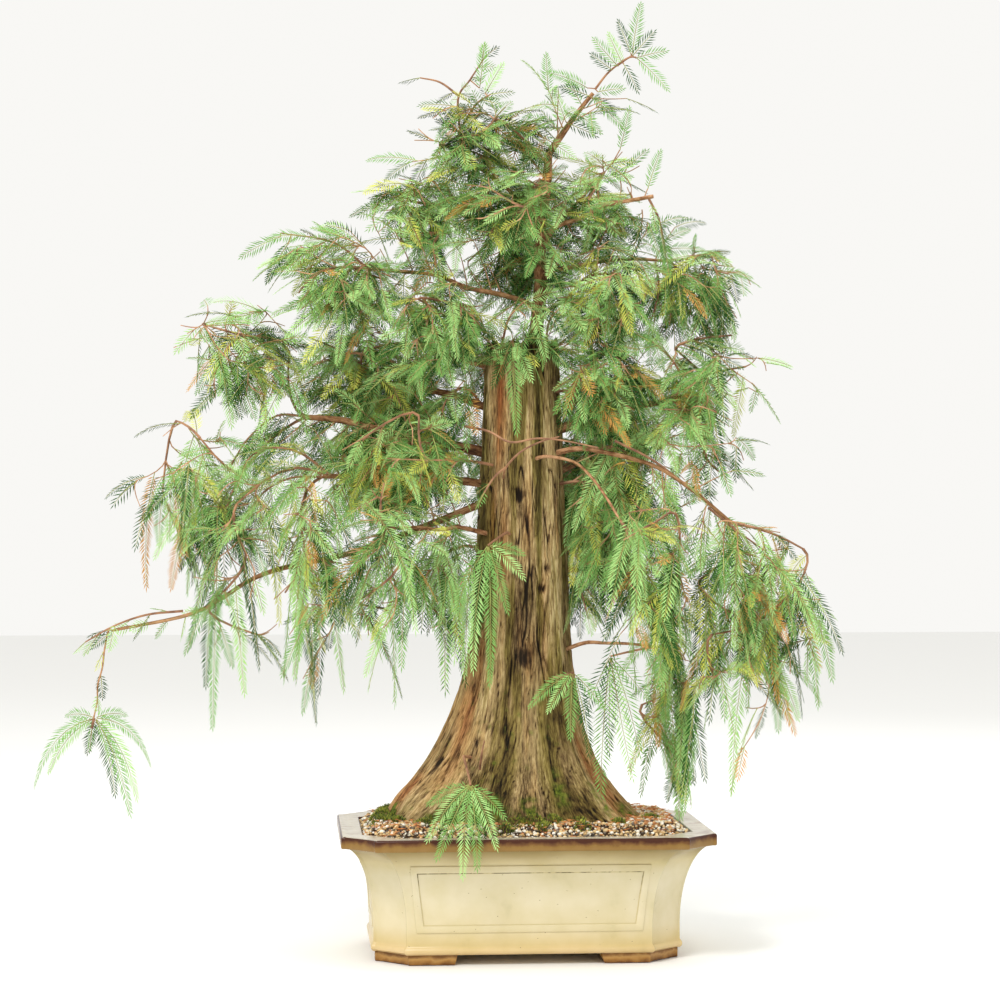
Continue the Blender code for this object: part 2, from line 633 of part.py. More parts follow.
def sprayMesh(root, heading, hang, length, roll, grow=0.0):
    # A toothed blade on an arching rib: a ridge on top, notched edges, forward teeth.
    side = heading.cross(Vector((0.0, 0.0, -1.0)))
    if side.length < 0.3:
        side = Vector((1.0, 0.25, 0.0))
    side = (side - heading * side.dot(heading)).normalized()
    side.rotate(Matrix.Rotation(roll, 3, heading))

    def rib(share):
        return ribPoint(root, heading, hang, length * share)

    def halfWidth(share):
        return SPRAY_HALF_WIDTH * (0.4 + 0.6 * length / SPRAY_LENGTH) * (0.55 + 0.9 * share) * (1.12 - share) / 0.78

    bm = bmesh.new()
    lefts = []
    rights = []
    ridges = []
    leftTips = []
    rightTips = []

    def section(share, half, ridge):
        place = rib(share)
        ahead = (rib(share + 0.05) - place).normalized()
        normal = side.cross(ahead).normalized()
        low = normal * (ridge * 0.4 + grow)
        left = bm.verts.new(place - side * (half + grow) - low)
        right = bm.verts.new(place + side * (half + grow) - low)
        return left, right, bm.verts.new(place + normal * (ridge * 0.6 + grow)), ahead

    stalk = section(0.0, SPRAY_ROOT_HALF, 2 * SPRAY_ROOT_HALF)[:3]
    for tooth in range(SPRAY_TEETH):
        share = SPRAY_STALK + (1 - SPRAY_STALK) * tooth / (SPRAY_TEETH - 0.25)
        half = SPRAY_STALK_HALF if tooth == 0 else SPRAY_NOTCH * halfWidth(share)
        ridge = 2 * SPRAY_STALK_HALF if tooth == 0 else SPRAY_RIDGE * (1.0 - 0.4 * share)
        left, right, crest, ahead = section(share, half, ridge)
        lefts.append(left)
        rights.append(right)
        ridges.append(crest)
        reach = min(0.97, share + 0.80 / SPRAY_TEETH)
        tip = rib(reach)
        wide = halfWidth(reach - 0.5 / SPRAY_TEETH) + grow
        leftTips.append(bm.verts.new(tip - side * wide + ahead * grow))
        rightTips.append(bm.verts.new(tip + side * wide + ahead * grow))
    end = bm.verts.new(rib(1.0) + (rib(1.0) - rib(0.95)).normalized() * grow)
    bm.faces.new(stalk)
    corners = (lefts[0], rights[0], ridges[0])
    for index in range(3):
        after = (index + 1) % 3
        bm.faces.new((stalk[index], stalk[after], corners[after], corners[index]))
    for tooth in range(SPRAY_TEETH):
        last = tooth == SPRAY_TEETH - 1
        edges = ((lefts, leftTips), (rights, rightTips))
        for edge, tips in edges:
            following = end if last else edge[tooth + 1]
            crest = end if last else ridges[tooth + 1]
            bm.faces.new((ridges[tooth], edge[tooth], tips[tooth]))
            bm.faces.new((ridges[tooth], tips[tooth], crest))
            bm.faces.new((edge[tooth], following, tips[tooth]))
            if not last:
                bm.faces.new((crest, tips[tooth], following))
        if last:
            bm.faces.new((lefts[tooth], rights[tooth], end))
        else:
            bm.faces.new((lefts[tooth], rights[tooth], rights[tooth + 1], lefts[tooth + 1]))
    bmesh.ops.recalc_face_normals(bm, faces=bm.faces)
    return bm


def twigMesh(start, end, thick, thin, lead, grow=0.0):
    # A three-sided twig that runs a little past both ends, so that joints overlap.
    heading = (end - start).normalized()
    foot = start - heading * lead
    top = end + heading * thin
    bm = bmesh.new()
    turn = heading.to_track_quat("Z", "Y").to_matrix().to_4x4()
    place = Matrix.Translation((foot + top) / 2) @ turn
    bmesh.ops.create_cone(bm, cap_ends=True, segments=3, radius1=thick + grow, radius2=thin + grow,
                          depth=(top - foot).length + 2 * grow, matrix=place)
    return bm


def treeOf(bm):
    tree = BVHTree.FromBMesh(bm)
    bm.free()
    return tree


def sprayTargets(seeded, centre, halves, taken):
    # Places for a spray's tip near the space's outside, the emptiest first.
    targets = []
    while len(targets) < SPRAY_TRIES:
        place = Vector([seeded.uniform(-1.0, 1.0) for axis in range(3)])
        if SPRAY_SHELL <= place.length <= 1.0:
            targets.append(centre + Vector([part * half for part, half in zip(place, halves)]))
    if taken:
        targets.sort(key=lambda target: -min((target - other).length for other in taken))
    return targets


def sprayAim(root, target, hang):
    # The heading that brings the arching rib to its target.
    reach = target - root
    lift = 0.45 * hang * reach.length ** 2 / SPRAY_LENGTH
    return (reach + Vector((0.0, 0.0, lift))).normalized(), reach.length


def massStart(source, boughs):
    if source[0] != "trunk":
        return stemStart(boughs[source[0]][1], source[1])
    height, angle = source[1], source[2]
    if angle is None:
        top = leaderPoint(LEADER_TOP)
        heading = (top - leaderPoint(LEADER_TOP - 0.02)).normalized()
        return top + heading * GAP, heading
    turn = math.radians(angle)
    heading = Vector((math.cos(turn), math.sin(turn), 0.15)).normalized()
    if height > CHOP_HEIGHT:
        return leaderPoint(height), heading
    return trunkPoint(height, angle) - heading * 0.004, heading


def makeMass(name, row, boughs, obstacles, cutterMaker, collection):
    source, middle, halves, twigCount, sprayCount, hang = row
    centre = Vector(middle)
    start, heading = massStart(source, boughs)
    buried = source[0] == "trunk" and source[2] is not None
    step = STEM_COLLAR
    if buried:
        step += leaderRadius(source[1]) if source[1] > CHOP_HEIGHT else 0.008
    collar = start + heading * step
    nodes, parents = growTwigs(name, start, collar, centre, halves, twigCount, hang)
    own = source[0]
    others = list(obstacles.values())
    notOwn = [tree for key, tree in obstacles.items() if key != own]
    pieces = [twigMesh(start, collar, TWIG_JOINT * TWIG_RADIUS, TWIG_RADIUS, 0.0)]
    depths = {0: 0, 1: 0}
    mine = []
    for index in range(2, len(nodes)):
        parent = parents[index]
        if parent not in depths:
            continue
        depth = depths[parent] + 1
        radius = max(TWIG_LEAST, TWIG_RADIUS - TWIG_THINNING * depth)
        args = (nodes[parent], nodes[index], TWIG_JOINT * radius, radius, 0.0)
        tree = treeOf(twigMesh(*args, grow=CLEARANCE))
        blockers = notOwn if parent == 1 else others
        if any(tree.overlap(other) for other in blockers):
            continue
        depths[index] = depth
        pieces.append(twigMesh(*args))
        mine.append(treeOf(twigMesh(*args)))
    seeded = random.Random(name + " sprays")
    seats = [index for index in range(2, len(nodes)) if index in depths]
    held = {index: 0 for index in seats}
    taken = []
    for turn in range(sprayCount if seats else 0):
        for target in sprayTargets(seeded, centre, halves, taken):
            costs = []
            for index in seats:
                climb = max(0.0, target.z - nodes[index].z) * min(hang, 1.0)
                spare = abs((target - nodes[index]).length - SPRAY_LENGTH)
                costs.append((spare + CLIMB * climb, index))
            seat = min(costs)[1]
            twig = nodes[seat] - nodes[parents[seat]]
            back = min(SPRAY_SPACING * held[seat], 0.8 * twig.length)
            place = nodes[seat] - twig.normalized() * back
            roll = seeded.uniform(-SPRAY_ROLL, SPRAY_ROLL)
            aim, length = sprayAim(place, target, hang)
            root = place - aim * SPRAY_SINK
            if not SPRAY_LEAST <= length <= SPRAY_MOST:
                continue
            joint = min(SPRAY_JOINT, 0.3 * length)
            far = root + aim * joint
            tree = treeOf(sprayMesh(root, aim, hang, length, roll, grow=CLEARANCE))
            if any(tree.overlap(other) for other in others):
                continue
            ahead = treeOf(sprayMesh(far, aim, hang, length - joint, roll, grow=0.0002))
            if any(ahead.overlap(other) for other in mine):
                continue
            pieces.append(sprayMesh(root, aim, hang, length, roll))
            mine.append(ahead)
            taken += [target, ribPoint(root, aim, hang, length / 2)]
            held[seat] += 1
            break
    used = sum(held.values())
    solids = [objectFrom(piece, name + "_piece", collection) for piece in pieces]
    mass = joinAll(solids, name, collection)
    if buried:
        combine(mass, cutterMaker(), "DIFFERENCE")
    return mass, used


def treeOfObject(item, place=Matrix.Identity(4)):
    bm = bmesh.new()
    bm.from_mesh(item.data)
    bm.transform(place)
    return treeOf(bm)


def paint(item, kind):
    colour, roughness = COLOURS[kind]
    material = makeMaterial(item.name, colour, roughness)
    item.data.materials.clear()
    item.data.materials.append(material)


def widestBox(items):
    corners = [item.matrix_world @ vertex.co for item in items for vertex in item.data.vertices]
    lows = [min(corner[axis] for corner in corners) for axis in range(3)]
    highs = [max(corner[axis] for corner in corners) for axis in range(3)]
    return lows, highs


def main():
    clearScene()
    parts = makeCollection("bald_cypress_bonsai")
    pot = makePot(parts)
    soil = makeSoil(parts)
    trunk = makeTrunk(0.0, parts)
    boughs = makeBoughs(lambda: makeTrunk(GAP, parts), parts)

    turnBack = Matrix.Rotation(-PLANTING_TURN, 4, "Z")
    obstacles = {"pot": treeOfObject(pot, turnBack), "soil": treeOfObject(soil, turnBack)}
    obstacles["trunk"] = treeOfObject(trunk)
    for name, (bough, path) in boughs.items():
        obstacles[name] = treeOfObject(bough)
    masses = []
    for name, row in MASSES.items():
        mass, used = makeMass(name, row, boughs, obstacles, lambda: makeTrunk(GAP, parts), parts)
        obstacles[name] = treeOfObject(mass)
        masses.append(mass)
        print(name, "sprays", used, "of", row[4], "faces", len(mass.data.polygons))

    planting = bpy.data.objects.new("planting", None)
    stand = bpy.data.objects.new("bonsai", None)
    for empty in (planting, stand):
        parts.objects.link(empty)
    planting.rotation_euler.z = PLANTING_TURN
    planting.parent = stand
    for item in (pot, soil):
        item.parent = stand
    limbs = [bough for bough, path in boughs.values()]
    for item in [trunk] + limbs + masses:
        item.parent = planting
    paint(pot, "pot")
    paint(soil, "soil")
    paint(trunk, "trunk")
    for limb in limbs:
        paint(limb, "bough")
    for mass in masses:
        paint(mass, "foliage")

    # The origin is the middle of the whole part's box, on the feet's underside.
    bpy.context.view_layer.update()
    lows, highs = widestBox([pot, soil, trunk] + limbs + masses)
    stand.location = (-(lows[0] + highs[0]) / 2, -(lows[1] + highs[1]) / 2, -lows[2])
    bpy.context.view_layer.update()


main()
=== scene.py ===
# Bald cypress bonsai: bark, needles, soil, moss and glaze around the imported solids.
# Metres, +Z up. The pot is square to the world; the planting is turned a little on it.
# The tables of limbs, foliage and moss cushions give places in the planting's frame, in millimetres.

import math
import random

import bmesh
import bpy
import numpy as np
from mathutils import Matrix, Vector, noise


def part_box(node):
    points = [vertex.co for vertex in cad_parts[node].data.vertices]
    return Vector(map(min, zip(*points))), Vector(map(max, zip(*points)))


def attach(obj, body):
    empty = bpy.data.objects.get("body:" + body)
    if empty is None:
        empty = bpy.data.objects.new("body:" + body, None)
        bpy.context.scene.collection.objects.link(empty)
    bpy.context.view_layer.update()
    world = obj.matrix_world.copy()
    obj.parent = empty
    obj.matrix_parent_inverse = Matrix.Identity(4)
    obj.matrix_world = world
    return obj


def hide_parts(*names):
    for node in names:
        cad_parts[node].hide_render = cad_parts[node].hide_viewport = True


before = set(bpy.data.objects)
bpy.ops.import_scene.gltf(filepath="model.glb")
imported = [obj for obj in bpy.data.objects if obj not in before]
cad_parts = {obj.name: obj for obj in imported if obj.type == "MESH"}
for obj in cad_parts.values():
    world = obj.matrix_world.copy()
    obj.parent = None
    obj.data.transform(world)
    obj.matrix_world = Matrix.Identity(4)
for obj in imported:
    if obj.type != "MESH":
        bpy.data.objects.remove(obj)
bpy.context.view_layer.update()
bodyName = "root"

potLow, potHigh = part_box("pot")
potCentre = Vector(((potLow.x + potHigh.x) / 2, (potLow.y + potHigh.y) / 2, 0.0))
plantingTurn = math.radians(-4.6)
planting = Matrix.Translation(potCentre) @ Matrix.Rotation(plantingTurn, 4, "Z")
downward = Vector((0.0, 0.0, -1.0))
upward = Vector((0.0, 0.0, 1.0))
pieceLimit = 190000  # triangles in one joined piece
print("frame loaded, pot centre", tuple(round(part, 4) for part in potCentre))


# Camera, lights and floor.

cameraPlace = {"across": -0.0235, "back": 3.0, "height": 0.492, "lens": 98.4, "sensor": 36.0}
lightSet = {
    # name: place in the planting's frame, size, power
    "key": ((-1.3, -2.1, 2.6), 0.9, 62),
    "fill": ((2.1, -2.0, 1.2), 2.0, 4),
    "top": ((0.2, 0.1, 2.9), 1.6, 20),
    "rim": ((0.9, 2.2, 1.9), 1.6, 10),
}
floorShape = {"size": 14.0, "colour": "F1F1EF"}
skyColour = "FBFAF7"
skyStrength = 0.98


def metres(values):
    return [value / 1000 for value in values]


def linear(hexText):
    parts = [int(hexText[place:place + 2], 16) / 255 for place in (0, 2, 4)]
    bright = [part / 12.92 if part <= 0.04045 else ((part + 0.055) / 1.055) ** 2.4 for part in parts]
    return (*bright, 1.0)


def addNode(tree, kind, settings, inputs):
    # Adds a node; a socket given as an input is linked and any other value is set.
    node = tree.nodes.new(kind)
    for name, value in settings.items():
        if name == "stops":
            ramp = node.color_ramp
            ramp.elements[0].position, ramp.elements[0].color = value[0][0], linear(value[0][1])
            ramp.elements[1].position, ramp.elements[1].color = value[-1][0], linear(value[-1][1])
            for place, colour in value[1:-1]:
                ramp.elements.new(place).color = linear(colour)
        else:
            setattr(node, name, value)
    for name, value in inputs.items():
        if isinstance(value, bpy.types.NodeSocket):
            tree.links.new(value, node.inputs[name])
        else:
            node.inputs[name].default_value = value
    return node


def startMaterial(name, settings):
    material = bpy.data.materials.new(name)
    material.use_nodes = True
    shader = material.node_tree.nodes["Principled BSDF"]
    for socket, value in settings.items():
        shader.inputs[socket].default_value = value
    return material, material.node_tree, shader


def noiseOf(tree, place, scale, detail):
    return addNode(tree, "ShaderNodeTexNoise", {}, {
        "Vector": place, "Scale": scale, "Detail": detail}).outputs["Fac"]


def rampOf(tree, level, stops):
    return addNode(tree, "ShaderNodeValToRGB", {"stops": stops}, {"Fac": level}).outputs["Color"]


def mathOf(tree, operation, *values):
    return addNode(tree, "ShaderNodeMath", {"operation": operation}, dict(enumerate(values))).outputs[0]


def mixOf(tree, blend, share, first, second):
    return addNode(tree, "ShaderNodeMix", {"data_type": "RGBA", "blend_type": blend},
                   {0: share, 6: first, 7: second}).outputs[2]


def objectPlace(tree):
    return addNode(tree, "ShaderNodeTexCoord", {}, {}).outputs["Object"]


def attributeOf(tree, name, output="Fac"):
    return addNode(tree, "ShaderNodeAttribute", {"attribute_name": name}, {}).outputs[output]


def addBump(tree, shader, height, strength, distance):
    bump = addNode(tree, "ShaderNodeBump", {}, {
        "Strength": strength, "Distance": distance, "Height": height})
    tree.links.new(bump.outputs["Normal"], shader.inputs["Normal"])


def cloudMaterial(name, roughness, scale, detail, stops):
    # Soft noise through a ramp, for surfaces that only vary in tone.
    material, tree, shader = startMaterial(name, {"Roughness": roughness})
    tone = rampOf(tree, noiseOf(tree, objectPlace(tree), scale, detail), stops)
    tree.links.new(tone, shader.inputs["Base Color"])
    return material


def deselectAll():
    bpy.ops.object.select_all(action="DESELECT")


def makeActive(item):
    deselectAll()
    item.select_set(True)
    bpy.context.view_layer.objects.active = item


def applyModifier(item, kind, settings):
    makeActive(item)
    modifier = item.modifiers.new(kind.lower(), kind)
    for name, value in settings.items():
        setattr(modifier, name, value)
    bpy.ops.object.modifier_apply(modifier=modifier.name)


def bevelEdges(item, width, degrees):
    applyModifier(item, "BEVEL", {"width": width, "segments": 2, "limit_method": "ANGLE",
                                  "angle_limit": math.radians(degrees)})


def combine(item, tool, operation):
    applyModifier(item, "BOOLEAN", {"operation": operation, "solver": "EXACT", "object": tool})
    bpy.data.objects.remove(tool)
    return item


def joinPieces(items, name):
    deselectAll()
    for item in items:
        item.select_set(True)
    bpy.context.view_layer.objects.active = items[0]
    bpy.ops.object.join()
    items[0].name = name
    items[0].data.name = name
    return items[0]


def settle(item, material, nodes):
    # A finished piece keeps its place in its mesh, takes its material when one is given, rides on the
    # body and hides the parts it replaces.
    makeActive(item)
    bpy.ops.object.transform_apply(location=True, rotation=True, scale=True)
    if material:
        item.data.materials.clear()
        item.data.materials.append(material)
    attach(item, bodyName)
    if nodes:
        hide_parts(*nodes)
    return item


def addItem(name, data):
    item = bpy.data.objects.new(name, data)
    bpy.context.scene.collection.objects.link(item)
    return item


def pieceFrom(name, points, faces):
    mesh = bpy.data.meshes.new(name)
    mesh.from_pydata(points.tolist(), [], faces.tolist())
    return addItem(name, mesh)


def shadeByAngle(item, degrees):
    makeActive(item)
    bpy.ops.object.shade_smooth_by_angle(angle=math.radians(degrees))


def makeStudio():
    cameraData = bpy.data.cameras.new("camera")
    cameraData.lens = cameraPlace["lens"]
    cameraData.sensor_width = cameraPlace["sensor"]
    camera = addItem("camera", cameraData)
    stand = (cameraPlace["across"], -cameraPlace["back"], cameraPlace["height"])
    camera.location = planting @ Vector(stand)
    camera.rotation_euler = (math.pi / 2, 0.0, plantingTurn)
    bpy.context.scene.camera = camera
    aim = planting @ Vector((0.0, 0.0, 0.5))
    for name, (spot, size, power) in lightSet.items():
        lampData = bpy.data.lights.new(name, "AREA")
        lampData.shape = "DISK"
        lampData.size = size
        lampData.energy = power
        lamp = addItem(name, lampData)
        lamp.location = planting @ Vector(spot)
        lamp.rotation_euler = (aim - lamp.location).to_track_quat("-Z", "Y").to_euler()
    world = bpy.data.worlds.new("studio")
    bpy.context.scene.world = world
    bpy.context.scene.view_settings.view_transform = "Standard"
    world.use_nodes = True
    sky = world.node_tree.nodes["Background"]
    sky.inputs["Color"].default_value = linear(skyColour)
    sky.inputs["Strength"].default_value = skyStrength
    deselectAll()
    bpy.ops.mesh.primitive_plane_add(size=floorShape["size"], location=(0.0, 0.0, -0.0005))
    floor = bpy.context.object
    floor.name = "floor"
    material, tree, shader = startMaterial("matt_studio_floor", {"Roughness": 0.9})
    shader.inputs["Base Color"].default_value = linear(floorShape["colour"])
    floor.data.materials.append(material)
    print("studio set")


makeStudio()


# Pot: glazed stoneware, slab built, with a flat rim, framed panels and four feet.

potShape = {
    "halfLength": 0.200, "halfDepth": 0.140, "height": 0.137, "corner": 0.034, "notch": 0.0035,
    "lipHeight": 0.013, "lipWidth": 0.024, "lipRounds": (0.0016, 0.0026, 0.002), "undercut": 0.006,
    "flare": 0.035, "flareFoot": 0.037, "wall": 0.010, "beadProud": 0.0022, "beadHeight": 0.009,
    "footHeight": 0.0107, "footInset": 0.037, "footGapLong": 0.156, "footGapDeep": 0.100,
    "footSlant": 0.004, "panelHalfLength": 0.128, "panelHalfDepth": 0.066, "panelTop": 0.1064,
    "panelBottom": 0.0344, "panelTaper": 0.0075, "panelBand": 0.0075, "panelProud": 0.0012,
    "bandLow": 0.024, "bandRise": 0.092, "lineWidth": 0.0010, "lineProud": 0.00015,
    "edgeRound": 0.0012,
}
glazeTones = {
    "cream": [(0.06, "C4965A"), (0.13, "D8BC8A"), (0.20, "CFB984"), (0.32, "D6C8A2"),
              (0.55, "D8CDAE"), (0.74, "D5CAA9"), (0.84, "C8B98E"), (0.91, "A69468"),
              (0.96, "8E7C50")],
    "clouds": [(0.35, "FFFFFF"), (0.62, "F3F1E2"), (0.75, "DDDCC6")],
    "speck": "6B5638",
    "rim": [(0.0, "8E6E3A"), (0.36, "86642C"), (0.58, "6B4720"), (0.80, "431F0C")],
    # the cream glaze run thin on the flat rim, where the clay shows pinkish through it
    "flatRim": [(0.30, "A08C74"), (0.45, "BFB39C"), (0.62, "CBC1AC"), (0.80, "B29F84")],
    # the thin line at the panel's inner edge: cream low down, dark toward its top, painted shade under
    # the frame's upper edge
    "line": [(0.0, "CDBF94"), (0.62, "C4B68A"), (0.74, "6F6747")],
    # the feet: darkest at the base, a painted shadow where they stand on the floor, brown and gold above
    # and darker again at the top
    "foot": [(0.0, "6A421C"), (0.3, "966A32"), (0.6, "B0864A"), (0.9, "7A5224")],
}


def potSection(inset, height):
    # The octagon with stepped corners, as one ring of points.
    length = potShape["halfLength"] - inset
    depth = potShape["halfDepth"] - inset
    corner = potShape["corner"]
    notch = potShape["notch"]
    quarter = [
        (length, depth - corner),
        (length - notch, depth - corner),
        (length - corner, depth - notch),
        (length - corner, depth),
    ]
    ring = [(x, y) for x, y in quarter]
    ring += [(-x, y) for x, y in reversed(quarter)]
    ring += [(-x, -y) for x, y in quarter]
    ring += [(x, -y) for x, y in reversed(quarter)]
    return [potCentre + Vector((x, y, height)) for x, y in ring]


def wallInset(height):
    # The wall stands upright at the foot and flares along a quarter ellipse.
    top = potShape["height"] - potShape["lipHeight"]
    foot = potShape["flareFoot"]
    share = max(0.0, (height - foot) / (top + potShape["undercut"] / 4 - foot))
    return potShape["flare"] * math.sqrt(max(0.0, 1.0 - share * share))


def raiseProfile(rings, name):
    # A sixteen-sided disc, extruded upward ring by ring and fitted to each section.
    deselectAll()
    bpy.ops.mesh.primitive_circle_add(vertices=16, radius=0.1, fill_type="NGON")
    item = bpy.context.object
    item.name = name
    bpy.ops.object.mode_set(mode="EDIT")
    mesh = bmesh.from_edit_mesh(item.data)
    corner = mesh.verts.layers.int.new("corner")
    for index, vert in enumerate(mesh.verts):
        vert[corner] = index
        vert.co = rings[0][index]
    bpy.ops.mesh.select_all(action="SELECT")
    for ring in rings[1:]:
        bpy.ops.mesh.extrude_region_move(TRANSFORM_OT_translate={"value": (0.0, 0.0, 0.001)})
        mesh = bmesh.from_edit_mesh(item.data)
        corner = mesh.verts.layers.int["corner"]
        for vert in mesh.verts:
            if vert.select:
                vert.co = ring[vert[corner]]
        bmesh.update_edit_mesh(item.data)
    bpy.ops.mesh.select_all(action="SELECT")
    bpy.ops.mesh.normals_make_consistent(inside=False)
    bpy.ops.object.mode_set(mode="OBJECT")
    item.data.attributes.remove(item.data.attributes["corner"])
    return item


def trapezoidBlock(half, low, high, taper, turn, name):
    # A block through the pot whose outline is a trapezoid, wider at the top.
    deselectAll()
    bpy.ops.mesh.primitive_cube_add(size=2.0)
    block = bpy.context.object
    block.name = name
    for vert in block.data.vertices:
        top = vert.co.z > 0
        wide = half if top else half - taper
        place = Vector((wide * vert.co.x, 0.5 * vert.co.y, high if top else low))
        vert.co = Matrix.Rotation(turn, 3, "Z") @ place + potCentre
    return block


def makePanelBand(turn, half, outer, inner, proud, name):
    # A raised frame: the wall grown a little, kept only between two trapezoids.
    low = potShape["bandLow"]
    rise = potShape["bandRise"]
    heights = [low + rise * step / 12 for step in range(13)]
    band = raiseProfile([potSection(wallInset(height) - proud, height) for height in heights], name)
    core = raiseProfile([potSection(wallInset(height) + 0.002, height - 0.001 + 0.0002 * index)
                         for index, height in enumerate(heights)], "core")
    combine(band, core, "DIFFERENCE")
    for margin, operation in ((outer, "INTERSECT"), (inner, "DIFFERENCE")):
        block = trapezoidBlock(half - margin, potShape["panelBottom"] + margin,
                               potShape["panelTop"] - margin, potShape["panelTaper"], turn, "block")
        combine(band, block, operation)
    return band


def makePotFeet():
    inset = potShape["footInset"]
    tall = potShape["footHeight"]
    feet = raiseProfile([potSection(inset, 0.0), potSection(inset, tall + 0.001)], "feet")
    slant = potShape["footSlant"]
    for turn, gapWidth in ((0.0, potShape["footGapLong"]), (math.pi / 2, potShape["footGapDeep"])):
        slot = trapezoidBlock(gapWidth / 2 - slant, -0.01, tall + 0.01, -2 * slant, turn, "slot")
        combine(feet, slot, "DIFFERENCE")
    bevelEdges(feet, 0.0010, 40)
    return feet


def creamGlaze():
    # Matt-satin cream glaze over stoneware, dipped and fired: it pools olive under the rim,
    # warms to gold near the foot and carries scattered iron specks.
    material, tree, shader = startMaterial("stoneware_cream_glaze", {"Roughness": 0.27})
    place = objectPlace(tree)
    split = addNode(tree, "ShaderNodeSeparateXYZ", {}, {"Vector": place})
    stray = mathOf(tree, "MULTIPLY_ADD", noiseOf(tree, place, 14.0, 4.0), 0.012, split.outputs["Z"])
    level = mathOf(tree, "DIVIDE", stray, potShape["height"])
    tone = rampOf(tree, level, glazeTones["cream"])
    grey = rampOf(tree, noiseOf(tree, place, 26.0, 6.0), glazeTones["clouds"])
    clouded = mixOf(tree, "MULTIPLY", 0.8, tone, grey)
    cell = addNode(tree, "ShaderNodeTexVoronoi", {}, {"Vector": place, "Scale": 110.0})
    speck = mathOf(tree, "LESS_THAN", cell.outputs["Distance"], 0.045)
    speckled = mixOf(tree, "MIX", speck, clouded, linear(glazeTones["speck"]))
    tree.links.new(speckled, shader.inputs["Base Color"])
    addBump(tree, shader, noiseOf(tree, place, 60.0, 2.0), 0.12, 0.0008)
    return material


def ironGlaze(name, stops, low, high):
    # Glaze toned by height through a ramp: on the rim the iron glaze breaking from near black on the edge
    # to golden brown where thin; on the panel line and the feet its dark stops are painted shade.
    material, tree, shader = startMaterial(name, {"Roughness": 0.22, "Specular IOR Level": 0.28})
    place = objectPlace(tree)
    split = addNode(tree, "ShaderNodeSeparateXYZ", {}, {"Vector": place})
    level = addNode(tree, "ShaderNodeMapRange", {}, {
        "Value": split.outputs["Z"], "From Min": low, "From Max": high})
    stray = mathOf(tree, "MULTIPLY_ADD", noiseOf(tree, place, 95.0, 5.0), 0.9, level.outputs[0])
    tone = rampOf(tree, mathOf(tree, "SUBTRACT", stray, 0.45), stops)
    tree.links.new(tone, shader.inputs["Base Color"])
    return material


def quarterTurn(steps):
    return [math.pi / 2 * step / steps for step in range(steps + 1)]


def potProfile():
    # Inset and height of each ring: under the wall, up over the rim and down inside.
    wall = potShape["flare"]
    tall = potShape["height"]
    rim = tall - potShape["lipHeight"]
    flareFoot = potShape["flareFoot"]
    undercut = potShape["undercut"]
    foot = potShape["footHeight"]
    bead = wall - potShape["beadProud"]
    beadTop = foot + potShape["beadHeight"]
    under, over, inner = potShape["lipRounds"]
    lip = potShape["lipWidth"]
    inside = wall + potShape["wall"]
    profile = [(wall + 0.001, foot), (bead + 0.0012, foot + 0.0006), (bead, foot + 0.0024),
               (bead - 0.0003, foot + 0.0045), (bead, beadTop - 0.0030),
               (bead + 0.0010, beadTop - 0.0012), (wall, beadTop), (wall, beadTop + 0.004)]
    for turn in quarterTurn(16):
        height = flareFoot + (rim - 0.0004 - flareFoot) * math.sin(turn)
        profile.append((max(wallInset(height), undercut), height))
    profile.append((undercut - 0.0012, rim))
    for turn in quarterTurn(4):
        profile.append((under * (1 - math.sin(turn)), rim + under * (1 - math.cos(turn))))
    for turn in quarterTurn(5):
        profile.append((over * (1 - math.cos(turn)), tall - over * (1 - math.sin(turn))))
    profile += [(lip * 0.4, tall - 0.0006), (lip * 0.75, tall - 0.0007)]
    for turn in quarterTurn(4):
        profile.append((lip - inner * (1 - math.sin(turn)), tall - 0.0006 - inner * (1 - math.cos(turn))))
    return profile + [(lip, rim), (inside - 0.004, flareFoot + 0.030), (inside, foot + potShape["wall"])]


def glazeIndex(face, rim, tall):
    if face.center.z < rim - 0.0002:
        return 0
    return 2 if face.normal.z > 0.93 and face.center.z > tall - 0.004 else 1


def makePot():
    tall = potShape["height"]
    rim = tall - potShape["lipHeight"]
    wide = potShape["panelBand"]
    shell = raiseProfile([potSection(*ring) for ring in potProfile()], "pot_glazed")
    bevelEdges(shell, potShape["edgeRound"], 36)
    glazes = [creamGlaze(), ironGlaze("stoneware_iron_rim_glaze", glazeTones["rim"], rim, tall),
              cloudMaterial("stoneware_rim_glaze", 0.22, 55.0, 5.0, glazeTones["flatRim"])]
    for glaze in glazes:
        shell.data.materials.append(glaze)
    for face in shell.data.polygons:
        face.material_index = glazeIndex(face, rim, tall)
    members = [shell]
    # the panel line: painted shade along the frame's inner edge, darkest toward its top
    lineGlaze = ironGlaze("stoneware_panel_line_painted_shade", glazeTones["line"], 0.0, tall)
    halves = (potShape["panelHalfLength"], potShape["panelHalfDepth"])
    for side, (turn, half) in enumerate(zip((0.0, math.pi / 2), halves)):
        band = makePanelBand(turn, half, 0.0, wide, potShape["panelProud"], f"band_{side}")
        bevelEdges(band, 0.0005, 40)
        band.data.materials.append(glazes[0])
        line = makePanelBand(turn, half, wide - 0.0002, wide + potShape["lineWidth"],
                             potShape["lineProud"], f"line_{side}")
        line.data.materials.append(lineGlaze)
        members += [band, line]
    feet = makePotFeet()
    # the feet's glaze, with a painted shadow darkening their base
    footGlaze = ironGlaze("stoneware_foot_glaze_painted_shadow", glazeTones["foot"], 0.0, potShape["footHeight"])
    feet.data.materials.append(footGlaze)
    members.append(feet)
    for member in members:
        shadeByAngle(member, 38)
    pot = joinPieces(members, "pot_glazed")
    settle(pot, None, ["pot"])
    print("pot", len(pot.data.polygons), "faces")


makePot()


# Trunk, leader and limbs: the same rule as the solids, with the bark's relief.

